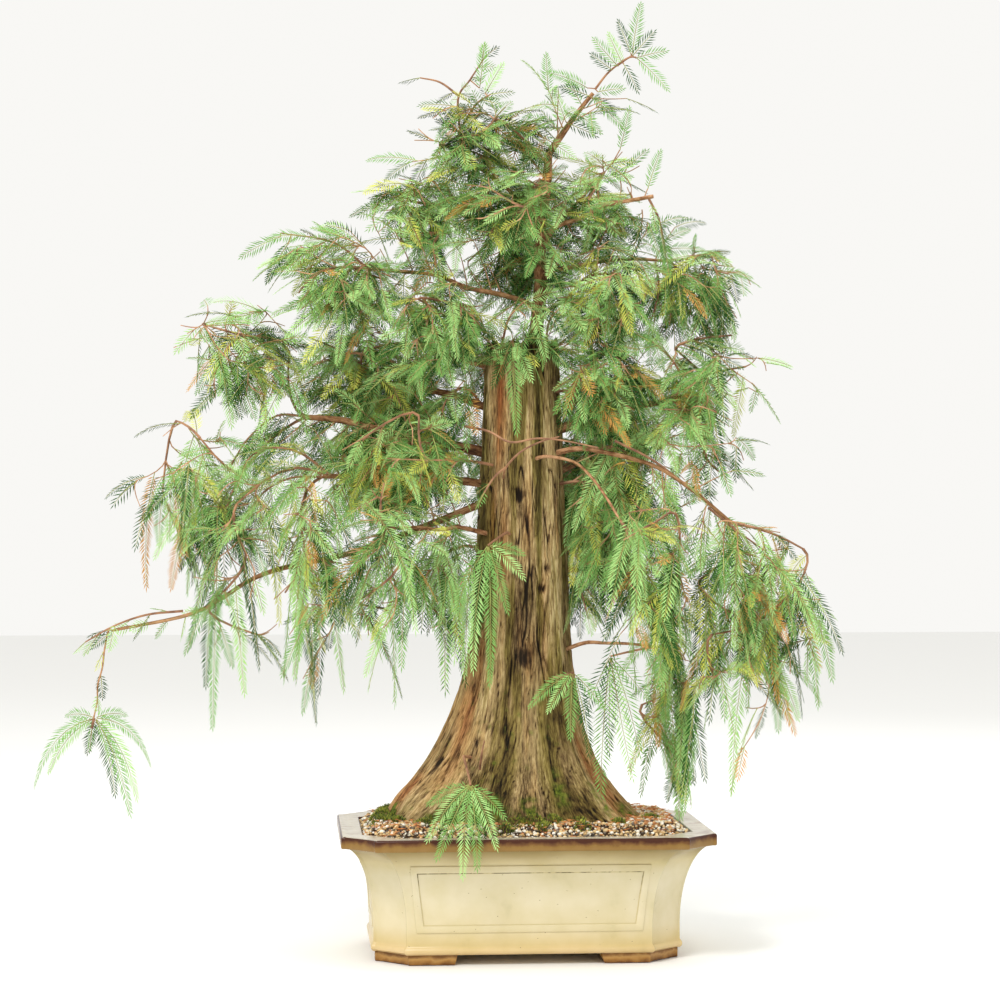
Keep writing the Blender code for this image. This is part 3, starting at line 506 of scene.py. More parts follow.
trunkShape = {
    "foot": 0.1458, "chop": 0.664, "topHalf": 0.0385, "swell": 0.0095,
    "flareHalf": 0.098, "flareReach": 0.07, "shift": -0.016,
    "depthRatio": 0.94, "footDepthLoss": 0.34, "flutes": 9, "fluteDepth": 0.045,
    "sides": 370, "levels": 250, "capRings": (0.965, 0.90, 0.80, 0.66, 0.50, 0.34, 0.18, 0.0),
    "hollow": (-0.024, -0.006), "hollowRadius": 0.0095, "hollowDepth": 0.022,
    "jag": 0.013, "jagWaves": ((1.0, 90, 5.0), (0.8, 300, 9.0), (0.5, 800, 3.0)),
    "furrowDepth": 0.003, "stripDepth": 0.0026, "spreadFrom": 0.052, "rootEnd": (0.118, 0.137),
    # stubs: angle, height, radius, how deep
    "knots": (
        (267, 0.496, 0.0055, 1.0), (297, 0.396, 0.005, 0.6), (274, 0.322, 0.009, 0.45),
        (305, 0.418, 0.004, 0.6), (258, 0.245, 0.008, 0.35), (60, 0.42, 0.006, 0.7),
        (140, 0.55, 0.005, 0.6), (110, 0.28, 0.006, 0.7)),
    # broad patches: angle, spread, low, high, how reddish (below zero olive), how dark
    "patches": (
        (236, 16, 0.53, 0.67, 0.16, 0.0), (288, 26, 0.52, 0.67, -0.12, -0.04),
        (255, 22, 0.4, 0.5, 0.12, 0.0), (268, 30, 0.38, 0.53, -0.08, 0.12),
        (308, 16, 0.34, 0.48, 0.04, -0.16), (276, 16, 0.3, 0.4, 0.02, 0.14),
        (262, 14, 0.24, 0.33, -0.12, 0.12), (218, 24, 0.18, 0.34, 0.14, -0.04),
        (292, 12, 0.19, 0.31, 0.04, -0.1), (336, 20, 0.14, 0.24, 0.18, -0.12),
        (262, 20, 0.14, 0.21, -0.1, 0.26), (306, 12, 0.15, 0.27, -0.06, 0.2),
        (196, 20, 0.4, 0.58, -0.14, 0.04), (200, 18, 0.14, 0.19, 0.16, -0.08),
        (20, 40, 0.2, 0.5, 0.1, 0.0), (90, 30, 0.15, 0.4, -0.1, 0.1), (140, 30, 0.4, 0.6, 0.1, 0.0)),
    # peeled strips: angle, spread, low, high, how bare
    "peels": (
        (236, 9, 0.54, 0.665, 1.0), (228, 7, 0.42, 0.5, 0.8), (250, 6, 0.4, 0.47, 0.5),
        (215, 9, 0.22, 0.36, 0.5), (335, 10, 0.14, 0.24, 0.7), (300, 6, 0.3, 0.42, 0.4),
        (196, 12, 0.14, 0.19, 0.7), (20, 14, 0.2, 0.5, 0.5), (120, 12, 0.3, 0.6, 0.6)),
}
# Surface roots at the foot: angle round the trunk, spread and height of each swelling.
rootSwellings = [
    (182, 15, 0.16), (214, 11, 0.34), (262, 14, 0.16), (318, 13, 0.22),
    (352, 13, 0.1), (35, 15, 0.22), (88, 15, 0.2), (138, 14, 0.26),
]
# Moss on the bark: angle, spread, height, reach and how thick.
mossPlaces = (
    (199, 10, 0.152, 0.014, 1.0), (258, 11, 0.155, 0.024, 1.0), (280, 8, 0.16, 0.022, 0.7),
    (300, 7, 0.18, 0.035, 0.55), (318, 5, 0.16, 0.05, 0.6), (345, 10, 0.152, 0.014, 0.7),
    (232, 8, 0.152, 0.014, 0.6), (90, 30, 0.158, 0.022, 0.7), (150, 12, 0.156, 0.02, 0.7),
)
leaderShape = {
    "foot": 0.64, "bend": 0.872, "top": 0.939, "offset": (0.0155, 0.006), "drift": 0.0125,
    "lean": 0.78, "half": (0.0095, 0.0055, 0.0034), "steps": 70,
    "slim": (0.84, 3.4, 0.66),  # slimmer from this height, how fast and the least share
}
# Height and angle of the foot, the tip, the arch, foot and tip radii.
limbs = {
    "left_shelf": (506, 186, (-217, -20, 518), 4, 5.5, 3),
    "left_whip": (496, 206, (-440, -50, 351.5), -6, 5, 1.8),
    "left_short": (452, 218, (-135, -80, 462), 4, 4, 2.4),
    "left_thick": (541, 172, (-240, 30, 584), 2, 7.5, 3.4),
    "left_rising": (588, 158, (-160, 62, 626), 3, 5.5, 2.8),
    "left_chop": (640, 190, (-112, -24, 664), -6, 4.5, 2.4),
    "left_upper": (704, 184, (-172, -30, 744), 6, 4.2, 2.4),
    "left_high": (778, 170, (-116, 28, 822), 4, 3.6, 2),
    "left_top": (796, 186, (-78, -4, 880), 4, 3.4, 2),
    "right_high": (768, 12, (84, 24, 846), 4, 3.6, 2),
    "right_stub": (782, 340, (143, -30, 822), 6, 3.6, 2.8),
    "right_upper": (742, 4, (152, 12, 756), 4, 3.8, 2.2),
    "right_thick": (566, 352, (190, -30, 606), 4, 7.2, 3.2),
    "right_long": (538, 322, (226, -78, 466), 34, 4.6, 2.2),
    "right_low": (414, 22, (150, 50, 372), 16, 4.6, 2.2),
    "right_base": (322, 344, (136, -34, 334), 8, 3.6, 1.8),
    "front_shoot": (520, 262, (104, -112, 470), 40, 3, 1.8),
    "back": (470, 84, (30, 185, 505), 10, 6, 2.8),
    "back_left": (530, 128, (-135, 170, 565), 8, 5.8, 2.8),
    "back_right": (515, 46, (140, 160, 545), 8, 5.8, 2.8),
}
whipDrop = ("left_whip_drop", "left_whip", (-461.5, -55, 256), 1.4, 1.1)
limbForm = {
    "steps": 5, "wander": 0.022, "sink": 0.55, "sides": 14, "relief": 0.16,
    "slim": 0.90, "shootSlim": 0.74, "shootBelow": 0.0047,
}
barkTones = {
    # the trunk's ramp runs from crests to furrows; its near-black end is partly painted shade in the
    # furrows
    "trunk": [(0.0, "CDB78A"), (0.20, "B09868"), (0.40, "917A52"), (0.58, "6E5839"),
              (0.78, "443320"), (1.0, "20170D")],
    "limbs": [(0.0, "C69A74"), (0.22, "A87C58"), (0.42, "83593C"), (0.62, "5C3D2A"),
              (1.0, "2C1D15")],
    "patches": [(0.30, "7C8052"), (0.42, "C2C694"), (0.52, "FFFFFF"), (0.62, "FFF0E0"),
                (0.76, "DDB8A6")],
    "fresh": "EFC2AC",
    "moss": [(0.35, "2B3A0E"), (0.65, "6E7C26")],
}
gap = 0.0003  # clearance between two solids
twigForm = {
    "share": 0.78, "lift": 0.22, "radius": 0.0018, "joint": 0.5, "collar": 0.010,
    "lane": 0.0012, "laneLean": 0.6, "climb": 1.5, "candidates": 14,
    "finerMost": 120, "finerCandidates": 8, "turnCost": 0.015, "ontoTrunk": 0.008,
}


def turnFrom(direction, angle):
    return (angle - direction + 180) % 360 - 180


def roughAt(x, y, z):
    return noise.noise(Vector((x, y, z)))


def trunkHalfWidth(height):
    climb = (trunkShape["chop"] - height) / (trunkShape["chop"] - trunkShape["foot"])
    swell = trunkShape["swell"] * min(1.0, 2.1 * climb)
    flare = math.exp((trunkShape["foot"] - height) / trunkShape["flareReach"])
    return trunkShape["topHalf"] + swell + trunkShape["flareHalf"] * flare


def trunkCentre(height):
    reach = 1.3 * trunkShape["flareReach"]
    return trunkShape["shift"] * math.exp((trunkShape["foot"] - height) / reach)


def trunkPoint(height, angle, grow=0.0):
    # A point on the bark at this height and angle in degrees; grow moves it outward.
    flare = math.exp((trunkShape["foot"] - height) / trunkShape["flareReach"])
    wave = trunkShape["flutes"] * angle + 40 * math.sin(9 * height)
    ripple = trunkShape["fluteDepth"] * math.cos(math.radians(wave))
    swelling = 0.0
    for direction, spread, rise in rootSwellings:
        swelling += rise * math.exp(-(turnFrom(direction, angle) / spread) ** 2)
    share = 1.0 - 0.10 * flare + flare * swelling + ripple * (1.0 - 0.5 * flare)
    reach = trunkHalfWidth(height) * share + grow
    depth = trunkShape["depthRatio"] - trunkShape["footDepthLoss"] * flare
    turn = math.radians(angle)
    x = trunkCentre(height) + reach * math.cos(turn)
    return Vector((x, reach * depth * math.sin(turn), height))


def leaderPoint(height):
    # Nearly upright from the cut to the bend, then leaning out to the right.
    share = (height - trunkShape["chop"]) / (leaderShape["bend"] - trunkShape["chop"])
    lean = leaderShape["lean"] * max(0.0, height - leaderShape["bend"])
    x = leaderShape["offset"][0] + leaderShape["drift"] * min(1.0, share) + lean
    x += 0.002 * math.sin(46 * height)
    y = leaderShape["offset"][1] + 0.003 * math.sin(31 * height)
    return Vector((x, y, height))


def leaderRadius(height):
    foot, bend, top = leaderShape["half"]
    if height < leaderShape["bend"]:
        share = (height - leaderShape["foot"]) / (leaderShape["bend"] - leaderShape["foot"])
        return foot + (bend - foot) * max(0.0, share)
    share = (height - leaderShape["bend"]) / (leaderShape["top"] - leaderShape["bend"])
    return bend + (top - bend) * min(1.0, share)


def footPoint(height, angle):
    # Where a limb starts: inside the bark, or on the leader's axis above the cut.
    if height > trunkShape["chop"]:
        return leaderPoint(height)
    centre = Vector((trunkCentre(height), 0.0, height))
    return centre.lerp(trunkPoint(height, angle), limbForm["sink"])


def limbPath(name, foot, tip, arch):
    # A gentle arch with a seeded wander that dies out at both ends.
    wander = random.Random("bough_" + name)
    length = (tip - foot).length
    points = []
    for step in range(limbForm["steps"] + 1):
        share = step / limbForm["steps"]
        bulge = 4 * share * (1 - share)
        point = foot.lerp(tip, share)
        point.z += arch * bulge
        amount = limbForm["wander"] * length * bulge
        point += Vector([wander.uniform(-amount, amount) for axis in range(3)])
        points.append(point)
    return points


def stemStart(path, lane):
    # Just clear of a limb's tip; two stems there part, one above the other.
    heading = (path[-1] - path[-2]).normalized()
    rise = (upward - heading * upward.dot(heading)).normalized()
    lean = math.sin(math.atan(twigForm["laneLean"] * abs(lane)))
    ahead = gap + twigForm["joint"] * twigForm["radius"] * lean
    start = path[-1] + heading * ahead + rise * (twigForm["lane"] * lane)
    return start, (heading + rise * (twigForm["laneLean"] * lane)).normalized()


def smoothPath(points, steps):
    # A rounded path through the given points, with even steps between each two.
    ends = [points[0] * 2 - points[1]] + list(points) + [points[-1] * 2 - points[-2]]
    path = []
    for before, start, end, after in zip(ends, ends[1:], ends[2:], ends[3:]):
        for step in range(steps):
            part = step / steps
            path.append(0.5 * ((2 * start) + (end - before) * part
                               + (2 * before - 5 * start + 4 * end - after) * part ** 2
                               + (3 * start - before - 3 * end + after) * part ** 3))
    path.append(points[-1])
    return path


def tubeFaces(rings, sides):
    # Triangles of a closed tube whose points run ring by ring.
    faces = []
    for ring in range(rings - 1):
        for corner in range(sides):
            here = ring * sides + corner
            beside = ring * sides + (corner + 1) % sides
            faces.append((here, beside, beside + sides))
            faces.append((here, beside + sides, here + sides))
    last = (rings - 1) * sides
    for corner in range(1, sides - 1):
        faces.append((0, corner + 1, corner))
        faces.append((last, last + corner, last + corner + 1))
    return np.array(faces)


def tubeArrays(path, radii, sides, relief, seed):
    # A closed tube along a path; relief roughens its radius with lengthwise ridges.
    points = []
    side = None
    for index, place in enumerate(path):
        after = path[min(index + 1, len(path) - 1)]
        before = path[max(index - 1, 0)]
        ahead = (after - before).normalized()
        if side is None:
            side = ahead.orthogonal()
        side = (side - ahead * side.dot(ahead)).normalized()
        other = ahead.cross(side)
        for corner in range(sides):
            turn = 2 * math.pi * corner / sides
            reach = radii[index]
            if relief:
                spot = Vector((math.cos(turn) * 1.6, math.sin(turn) * 1.6, 0.35 * index + seed))
                reach *= 1 + relief * noise.noise(spot * 1.5) + 0.5 * relief * noise.noise(spot * 4)
            points.append(place + (side * math.cos(turn) + other * math.sin(turn)) * reach)
    return np.array([tuple(point) for point in points]), tubeFaces(len(path), sides)


def fibrousBark(name, tones, olive):
    # Cypress bark, grown in long fibrous strips: furrows dark, partly the bark's darker fibre and partly
    # painted shade, weathered crests grey and tan, fresh strips reddish, a film of algae on the front and
    # moss toward the soil.
    material, tree, shader = startMaterial(name, {"Roughness": 0.88, "Specular IOR Level": 0.2})
    along = attributeOf(tree, "strand", "Vector")
    spread = attributeOf(tree, "spread")
    mixes = []
    for scales, settings in (((560.0, 1250.0), {"Detail": 6.0, "Roughness": 0.70}),
                             ((85.0, 240.0), {"Detail": 3.0})):
        noises = [addNode(tree, "ShaderNodeTexNoise", {}, {"Vector": along, "Scale": scale, **settings})
                  for scale in scales]
        mixes.append(addNode(tree, "ShaderNodeMix", {"data_type": "FLOAT"}, {
            0: spread, 2: noises[0].outputs["Fac"], 3: noises[1].outputs["Fac"]}).outputs[0])
    fibre, streak = mixes
    strand = mathOf(tree, "MULTIPLY_ADD", fibre, -2.2, attributeOf(tree, "furrow"))
    banded = mathOf(tree, "MULTIPLY_ADD", streak, -0.95, strand)
    tone = rampOf(tree, mathOf(tree, "ADD", banded, 1.90), tones)
    broad = mathOf(tree, "ADD", noiseOf(tree, along, 60.0, 5.0), attributeOf(tree, "warmth"))
    patched = mixOf(tree, "MULTIPLY", olive, tone, rampOf(tree, broad, barkTones["patches"]))
    fresh = mixOf(tree, "MULTIPLY", attributeOf(tree, "peel"), patched, linear(barkTones["fresh"]))
    green = rampOf(tree, noiseOf(tree, objectPlace(tree), 320.0, 4.0), barkTones["moss"])
    mossed = mixOf(tree, "MIX", attributeOf(tree, "moss"), fresh, green)
    tree.links.new(mossed, shader.inputs["Base Color"])
    addBump(tree, shader, fibre, 0.8, 0.0016)
    return material


def barkRelief(angle, height, spread):
    # Depth of the furrows and lift of the strips at a place on the trunk.
    turn = math.radians(angle) + 0.30 * (height - 0.3)
    spot = Vector((math.cos(turn) * 0.052, math.sin(turn) * 0.052, height * 0.115))
    warp = noise.noise(spot * 60) * 0.004 + noise.noise(spot * 170) * 0.0012
    spot.x += warp
    spot.y -= warp
    levels = []
    for base in (1.0, 2.3):
        spot = Vector((spot.x, spot.y, height * 0.115 / base ** 0.7))
        coarse = noise.noise(spot * (110 * base))
        fine = noise.noise(spot * (270 * base) + Vector((7.0, 3.0, 1.0)))
        grit = noise.noise(spot * (620 * base) + Vector((2.0, 8.0, 5.0)))
        levels.append((coarse, fine, grit))
    coarse, fine, grit = [a + (b - a) * spread for a, b in zip(*levels)]
    cleft = max(0.0, 1.0 - abs(coarse) / 0.065)
    crack = max(0.0, 1.0 - abs(fine) / 0.085)
    patchy = 0.42 + 1.5 * roughAt(spot.x * 60, spot.y * 60, height * 26)
    broken = 0.45 + 1.5 * roughAt(spot.x * 140, spot.y * 140, height * 60 + 4.0)
    furrow = 0.80 * cleft * max(0.0, patchy) + 0.42 * crack * max(0.0, broken)
    strip = 0.42 * coarse + 0.38 * fine + 0.32 * grit
    return min(1.0, furrow), strip


def patchFade(angle, height, direction, spread, low, high, tightness):
    # One in the middle of a patch of bark, falling to nothing past its edges.
    rise = (height - (low + high) / 2) / (high - low)
    return math.exp(-(turnFrom(direction, angle) / spread) ** 2 - (tightness * rise) ** 4)


def barkPatch(angle, height):
    # How reddish (above zero) or olive a broad patch of the bark is, and how dark.
    warmth = 0.0
    shade = 0.0
    rough = 1 + 0.9 * roughAt(angle / 9, height * 24, 6.0)
    for direction, spread, low, high, warm, dark in trunkShape["patches"]:
        amount = rough * patchFade(angle, height, direction, spread, low, high, 1.7)
        warmth += warm * amount
        shade += dark * amount
    return warmth, shade


def stripAmount(angle, height):
    # Where the bark has peeled to its reddish inner strips.
    amount = 0.0
    for direction, spread, low, high, most in trunkShape["peels"]:
        amount += most * patchFade(angle, height, direction, spread, low, high, 1.6)
    return min(1.0, amount)


def bluntRoot(angle, height, grow):
    # How much shorter the left root is, which ends blunt instead of running out thin.
    near = math.exp(-((angle - 192) / 30) ** 4)
    if near < 0.01:
        return 0.0
    side = math.cos(math.radians(angle))
    reach = (trunkPoint(height, angle, grow).x - trunkCentre(height)) / side
    start, end = trunkShape["rootEnd"]
    over = max(0.0, reach - start)
    return near * (over - (end - start) * (1 - math.exp(-over / (end - start))))


def knotRelief(angle, height):
    # Grown-over stubs: a dark dent inside a swollen ring; and the fuller left flank.
    lift = 0.0075 * math.exp(-((angle - 188) / 34) ** 2 - ((height - 0.225) / 0.065) ** 2)
    dark = 0.0
    for direction, up, radius, deep in trunkShape["knots"]:
        along = math.radians(turnFrom(direction, angle)) * trunkHalfWidth(height)
        wave = 1 + 0.5 * roughAt(along * 150, height * 150, up * 40)
        away = wave * math.hypot(along, 0.6 * (height - up)) / radius
        if away < 3:
            dark = max(dark, deep * (1.2 - 1.1 * away))
            ring = 0.0018 * math.exp(-(away - 1.5) ** 2 * 4)
            lift += deep * (ring - 0.0040 * math.exp(-away ** 2 * 2))
    return lift, dark


def mossAmount(place, angle, height):
    # Moss keeps to the damp foot, on the left root, in the middle and between the roots.
    amount = 0.0
    for direction, spread, low, reach, most in mossPlaces:
        offset = turnFrom(direction, angle)
        amount += most * math.exp(-(offset / spread) ** 2 - ((height - low) / reach) ** 2)
    grain = 0.5 + 1.3 * noise.noise(place * 160)
    return min(1.0, max(0.0, (amount - 0.30) * 3.2 * grain))


def writeAttribute(item, name, kind, values):
    attribute = item.data.attributes.new(name, kind, "POINT")
    attribute.data.foreach_set("value" if kind == "FLOAT" else "vector", values)


def cutPoint(place, keep):
    # A point of the cut face, drawn in from the bark's rim, and how dark it is there.
    chop = trunkShape["chop"]
    spot = Vector((trunkCentre(chop), 0.0)).lerp(place.xy, keep)
    rough = roughAt(spot.x * 260, spot.y * 260, 2.0)
    away = (spot - Vector(trunkShape["hollow"])).length / trunkShape["hollowRadius"]
    dip = trunkShape["hollowDepth"] * max(0.0, 1.0 - away ** 3) if away < 1 else 0.0
    height = chop - 0.004 + 0.003 * rough + 0.004 * keep ** 6 - dip
    return Vector((spot.x, spot.y, height)), min(1.0, 0.45 + 0.5 * rough + (1.2 if dip else 0.0))


def makeTrunk():
    # A flat grid, wrapped round the trunk, closed over the cut and stitched at its seam.
    sides = trunkShape["sides"]
    levels = trunkShape["levels"]
    capRings = trunkShape["capRings"]
    deselectAll()
    bpy.ops.mesh.primitive_grid_add(x_subdivisions=sides, y_subdivisions=levels + len(capRings) - 1,
                                    size=1.0)
    trunk = bpy.context.object
    trunk.name = "trunk_bark"
    values = {"furrow": [], "moss": [], "spread": [], "peel": [], "warmth": []}
    strands = []
    chop = trunkShape["chop"]
    foot = trunkShape["foot"] - 0.004
    for vert in trunk.data.vertices:
        row, column = divmod(vert.index, sides + 1)
        angle = 360 * column / sides % 360
        share = min(row, levels - 1) / (levels - 1)
        height = foot + (chop - foot) * share ** 1.15
        spread = min(1.0, max(0.0, (trunkHalfWidth(height) - trunkShape["spreadFrom"]) / 0.05))
        furrow, strip = barkRelief(angle, height, spread)
        fade = min(1.0, (chop - height) / 0.004 + 0.45)
        lift, dark = knotRelief(angle, height)
        warmth, shade = barkPatch(angle, height)
        grow = (trunkShape["stripDepth"] * strip - trunkShape["furrowDepth"] * furrow) * fade + lift
        grow -= bluntRoot(angle, height, grow)
        # the furrow darkness, partly painted shade in the furrows, takes in the knot dents and the
        # patches' dark
        furrow = min(1.0, furrow + max(0.0, dark) + shade)
        place = trunkPoint(height, angle, grow)
        jag = sum(amount * roughAt(place.x * scale, place.y * scale, seed)
                  for amount, scale, seed in trunkShape["jagWaves"])
        nearTop = max(0.0, 1.0 - (chop - height) / 0.030)
        place.z += trunkShape["jag"] * jag * nearTop ** 2
        furrow = min(1.0, furrow + 0.35 * nearTop)
        if row >= levels:
            place, furrow = cutPoint(place, capRings[row - levels])
        vert.co = place
        turn = math.radians(angle)
        strands += [0.052 * math.cos(turn), 0.052 * math.sin(turn), 0.095 * height]
        moss = mossAmount(place, angle, height) if height < 0.30 else 0.0
        for name, amount in zip(values, (furrow, moss, spread, stripAmount(angle, height), warmth)):
            values[name].append(amount)
    for name, amounts in values.items():
        writeAttribute(trunk, name, "FLOAT", amounts)
    writeAttribute(trunk, "strand", "FLOAT_VECTOR", strands)
    makeActive(trunk)
    bpy.ops.object.mode_set(mode="EDIT")
    bpy.ops.mesh.select_all(action="SELECT")
    bpy.ops.mesh.remove_doubles(threshold=0.00001)
    bpy.ops.mesh.select_all(action="DESELECT")
    bpy.ops.mesh.select_non_manifold()
    bpy.ops.mesh.edge_face_add()
    bpy.ops.mesh.select_all(action="SELECT")
    bpy.ops.mesh.normals_make_consistent(inside=False)
    bpy.ops.object.mode_set(mode="OBJECT")
    trunk.data.transform(planting)
    shadeByAngle(trunk, 70)
    settle(trunk, fibrousBark("cypress_trunk_bark", barkTones["trunk"], 0.9), ["trunk"])
    print("trunk", len(trunk.data.polygons), "faces")


makeTrunk()

limbPaths = {}


def leaderRun():
    # The leader's path and radii; it is slimmer still above where the top sprays begin.
    low, top = leaderShape["foot"], leaderShape["top"]
    steps = leaderShape["steps"]
    slimFrom, slimRate, slimLeast = leaderShape["slim"]
    heights = [low + (top - low) * step / steps for step in range(steps + 1)]
    radii = []
    for height in heights:
        slim = 1.0 if height < slimFrom else max(slimLeast, 1 - slimRate * (height - slimFrom))
        radii.append(leaderRadius(height) * slim)
    return [leaderPoint(height) for height in heights], radii


def makeLimbs():
    # The leader and the boughs, each a tapering tube with ridged bark.
    ends = {}
    for name, (height, angle, tip, arch, *radii) in limbs.items():
        foot = footPoint(height / 1000, angle)
        limbPaths[name] = limbPath(name, foot, Vector(metres(tip)), arch / 1000)
        ends[name] = metres(radii)
    name, parent, tip, *radii = whipDrop
    ends[name] = metres(radii)
    start, heading = stemStart(limbPaths[parent], 0)
    limbPaths[name] = [start] + limbPath(name, start + heading * 0.006, Vector(metres(tip)), 0.0)
    runs = [leaderRun()]
    for limb, path in limbPaths.items():
        path = smoothPath(path, 8)
        first, last = ends[limb]
        runs.append((path, [first + (last - first) * (step / (len(path) - 1)) ** 0.8
                            for step in range(len(path))]))
    allPoints = []
    allFaces = []
    furrows = []
    strands = []
    sides = limbForm["sides"]
    for seed, (path, radii) in enumerate(runs):
        slim = limbForm["slim"] if radii[0] > limbForm["shootBelow"] else limbForm["shootSlim"]
        radii = [radius * slim for radius in radii]
        points, faces = tubeArrays(path, radii, sides, limbForm["relief"], 3.7 * seed)
        allPoints.append(points)
        allFaces.append(faces + len(furrows))
        for index, point in enumerate(points):
            ring, corner = divmod(index, sides)
            turn = 2 * math.pi * corner / sides
            old = min(1.0, radii[ring] / 0.006)
            furrows.append(0.34 * old - 0.24 + 0.35 * noise.noise(Vector(point) * 160))
            strands += [radii[ring] * math.cos(turn) + seed, radii[ring] * math.sin(turn), 0.0012 * ring]
    limbPiece = pieceFrom("limbs_bark", np.concatenate(allPoints), np.concatenate(allFaces))
    writeAttribute(limbPiece, "furrow", "FLOAT", furrows)
    writeAttribute(limbPiece, "strand", "FLOAT_VECTOR", strands)
    for name, amount in (("moss", 0.0), ("spread", 0.5), ("peel", 0.0)):
        writeAttribute(limbPiece, name, "FLOAT", [amount] * len(furrows))
    limbPiece.data.transform(planting)
    shadeByAngle(limbPiece, 60)
    bark = fibrousBark("cypress_limb_bark", barkTones["limbs"], 0.4)
    settle(limbPiece, bark, sorted("bough_" + name for name in limbPaths))
    print("limbs", len(limbPiece.data.polygons), "faces")


makeLimbs()


# Foliage: what each mass grows from (a limb's tip and the lane there, or a height in metres and an
# angle on the trunk), its centre and half sizes, its twigs, how strongly it hangs and how full of
# sprays it is. Those with nothing but a start are fans.
masses = {
    "top_left": (("left_top", -1), (-50, -10, 885), (80, 55, 46), 4, 0.5, 1.2),
    "leader_mid": (("trunk", 0.836, 250), (-18, -50, 805), (62, 35, 50), 4, 0.5, 1.3),
    "upper_left": (("left_high", 0), (-114, 15, 806), (62, 55, 52), 4, 0.5, 0.9),
    "upper_right": (("right_high", 0), (95, 10, 820), (60, 55, 66), 4, 0.4, 0.6),
    "left_upper": (("left_upper", 0), (-203, -30, 728), (82, 55, 52), 4, 0.6, 1.3),
    "left_chop": (("left_chop", 0), (-92, -45, 680), (62, 45, 55), 4, 0.7, 1.2),
    "left_rising": (("left_rising", 0), (-172, 60, 628), (84, 60, 62), 4, 0.7, 1.5),
    "left_mid": (("left_thick", 1), (-312, 10, 650), (82, 55, 66), 5, 0.6, 0.8),
    "left_outer": (("left_thick", -1), (-357, -5, 495), (74, 50, 98), 5, 1.0, 0.5),
    "left_far": (("left_shelf", 1), (-305, -50, 400), (58, 45, 125), 4, 1.0, 0.3),
    "left_shelf": (("left_shelf", -1), (-228, -50, 395), (48, 45, 125), 4, 1.0, 0.45),
    "left_short": (("left_short", 0), (-148, -85, 410), (48, 45, 105), 4, 1.0, 0.6),
    "left_inner": (("trunk", 0.53, 222), (-130, -55, 535), (78, 45, 52), 4, 0.8, 1.0),
    "left_near": (("trunk", 0.44, 200), (-86, -40, 400), (38, 45, 100), 2, 1.0, 0.6),
    "whip_tuft": (("left_whip_drop", 0),),
    "right_upper": (("right_upper", 0), (196, 5, 717), (68, 55, 60), 4, 0.7, 1.0),
    "right_inner": (("trunk", 0.7, 330), (90, -30, 708), (58, 45, 62), 4, 0.7, 1.3),
    "right_thick": (("right_thick", 1), (209, -20, 624), (68, 55, 58), 4, 0.7, 0.8),
    "right_under": (("right_thick", -1), (190, -45, 550), (66, 45, 56), 4, 0.9, 0.35),
    "right_mid": (("trunk", 0.61, 340), (92, -35, 612), (55, 45, 60), 4, 0.7, 1.5),
    "right_long": (("right_long", 1), (284, -75, 372), (54, 45, 106), 4, 1.0, 0.6),
    "right_drop": (("right_long", -1), (222, -95, 328), (50, 40, 150), 4, 1.0, 0.55),
    "right_front": (("front_shoot", 0), (138, -115, 400), (48, 40, 118), 4, 1.0, 0.65),
    "right_low": (("right_low", 0), (164, 30, 265), (42, 45, 112), 4, 1.0, 0.6),
    "right_stem": (("trunk", 0.51, 350), (90, -10, 475), (46, 50, 100), 4, 0.9, 1.3),
    "right_base": (("right_base", 0),),
    "front_left": (("trunk", 0.455, 255),),
    "front_top": (("trunk", 0.65, 262),),
    "front_foot": (("trunk", 0.3, 310),),
    "pot_sprig": (("trunk", 0.215, 236),),
    "back": (("back", 0), (30, 200, 500), (85, 60, 85), 4, 0.9, 1.3),
    "back_left": (("back_left", 0), (-150, 185, 545), (85, 60, 85), 4, 0.9, 1.2),
    "back_right": (("back_right", 0), (150, 175, 530), (82, 60, 85), 4, 0.9, 1.0),
    "back_high": (("trunk", 0.735, 85), (-5, 110, 765), (75, 50, 60), 4, 0.7, 1.1),
}
# Masses of a few sprays that show one by one, each a fan from one place, with how it hangs and
# its sprays: degrees from straight down toward the right, lean to the front, length, tint.
fans = {
    "whip_tuft": ((-460, -55, 257), 1.35, (
        (-78, 0.2, 98, "mid"), (-64, -0.1, 74, "fresh"), (36, 0.2, 92, "mid"),
        (52, 0.15, 86, "fresh"), (24, -0.2, 72, "deep"), (88, 0.1, 86, "mid"), (112, -0.2, 40, "mid"),
        (-110, -0.3, 40, "mid"), (-20, -0.6, 40, "deep"))),
    "front_left": ((-36, -86, 444), 0.8, (
        (-16, 0.12, 112, "fresh"), (4, 0.1, 122, "mid"), (-38, 0.15, 70, "mid"),
        (-6, -0.1, 90, "deep"), (58, 0.2, 50, "fresh"), (84, 0.1, 40, "mid"), (18, 0.1, 66, "mid"))),
    "front_top": ((-10.6, -50, 664), 0.6, (
        (2, 0.25, 90, "mid"), (-24, 0.2, 50, "deep"), (30, 0.25, 46, "fresh"))),
    "front_foot": ((54, -86, 308), 0.8, (
        (-66, 0.2, 58, "mid"), (-40, 0.25, 46, "fresh"), (-4, 0.2, 62, "mid"), (20, 0.1, 78, "deep"),
        (48, 0.15, 48, "mid"))),
    "right_base": ((96, -46, 323), 0.5, (
        (-8, 0.1, 150, "mid"), (8, 0.15, 118, "fresh"), (24, 0.1, 100, "mid"), (-28, 0.1, 70, "deep"),
        (46, 0.05, 62, "mid"), (-2, -0.2, 96, "deep"))),
    "pot_sprig": ((-54.5, -128, 193), 0.8, (
        (-78, 0.45, 54, "mid"), (-54, 0.55, 74, "fresh"), (-30, 0.55, 80, "mid"),
        (-10, 0.5, 86, "fresh"), (10, 0.55, 80, "mid"), (32, 0.5, 68, "fresh"), (58, 0.4, 50, "mid"),
        (-40, 0.2, 60, "deep"), (20, 0.1, 56, "deep"))),
}
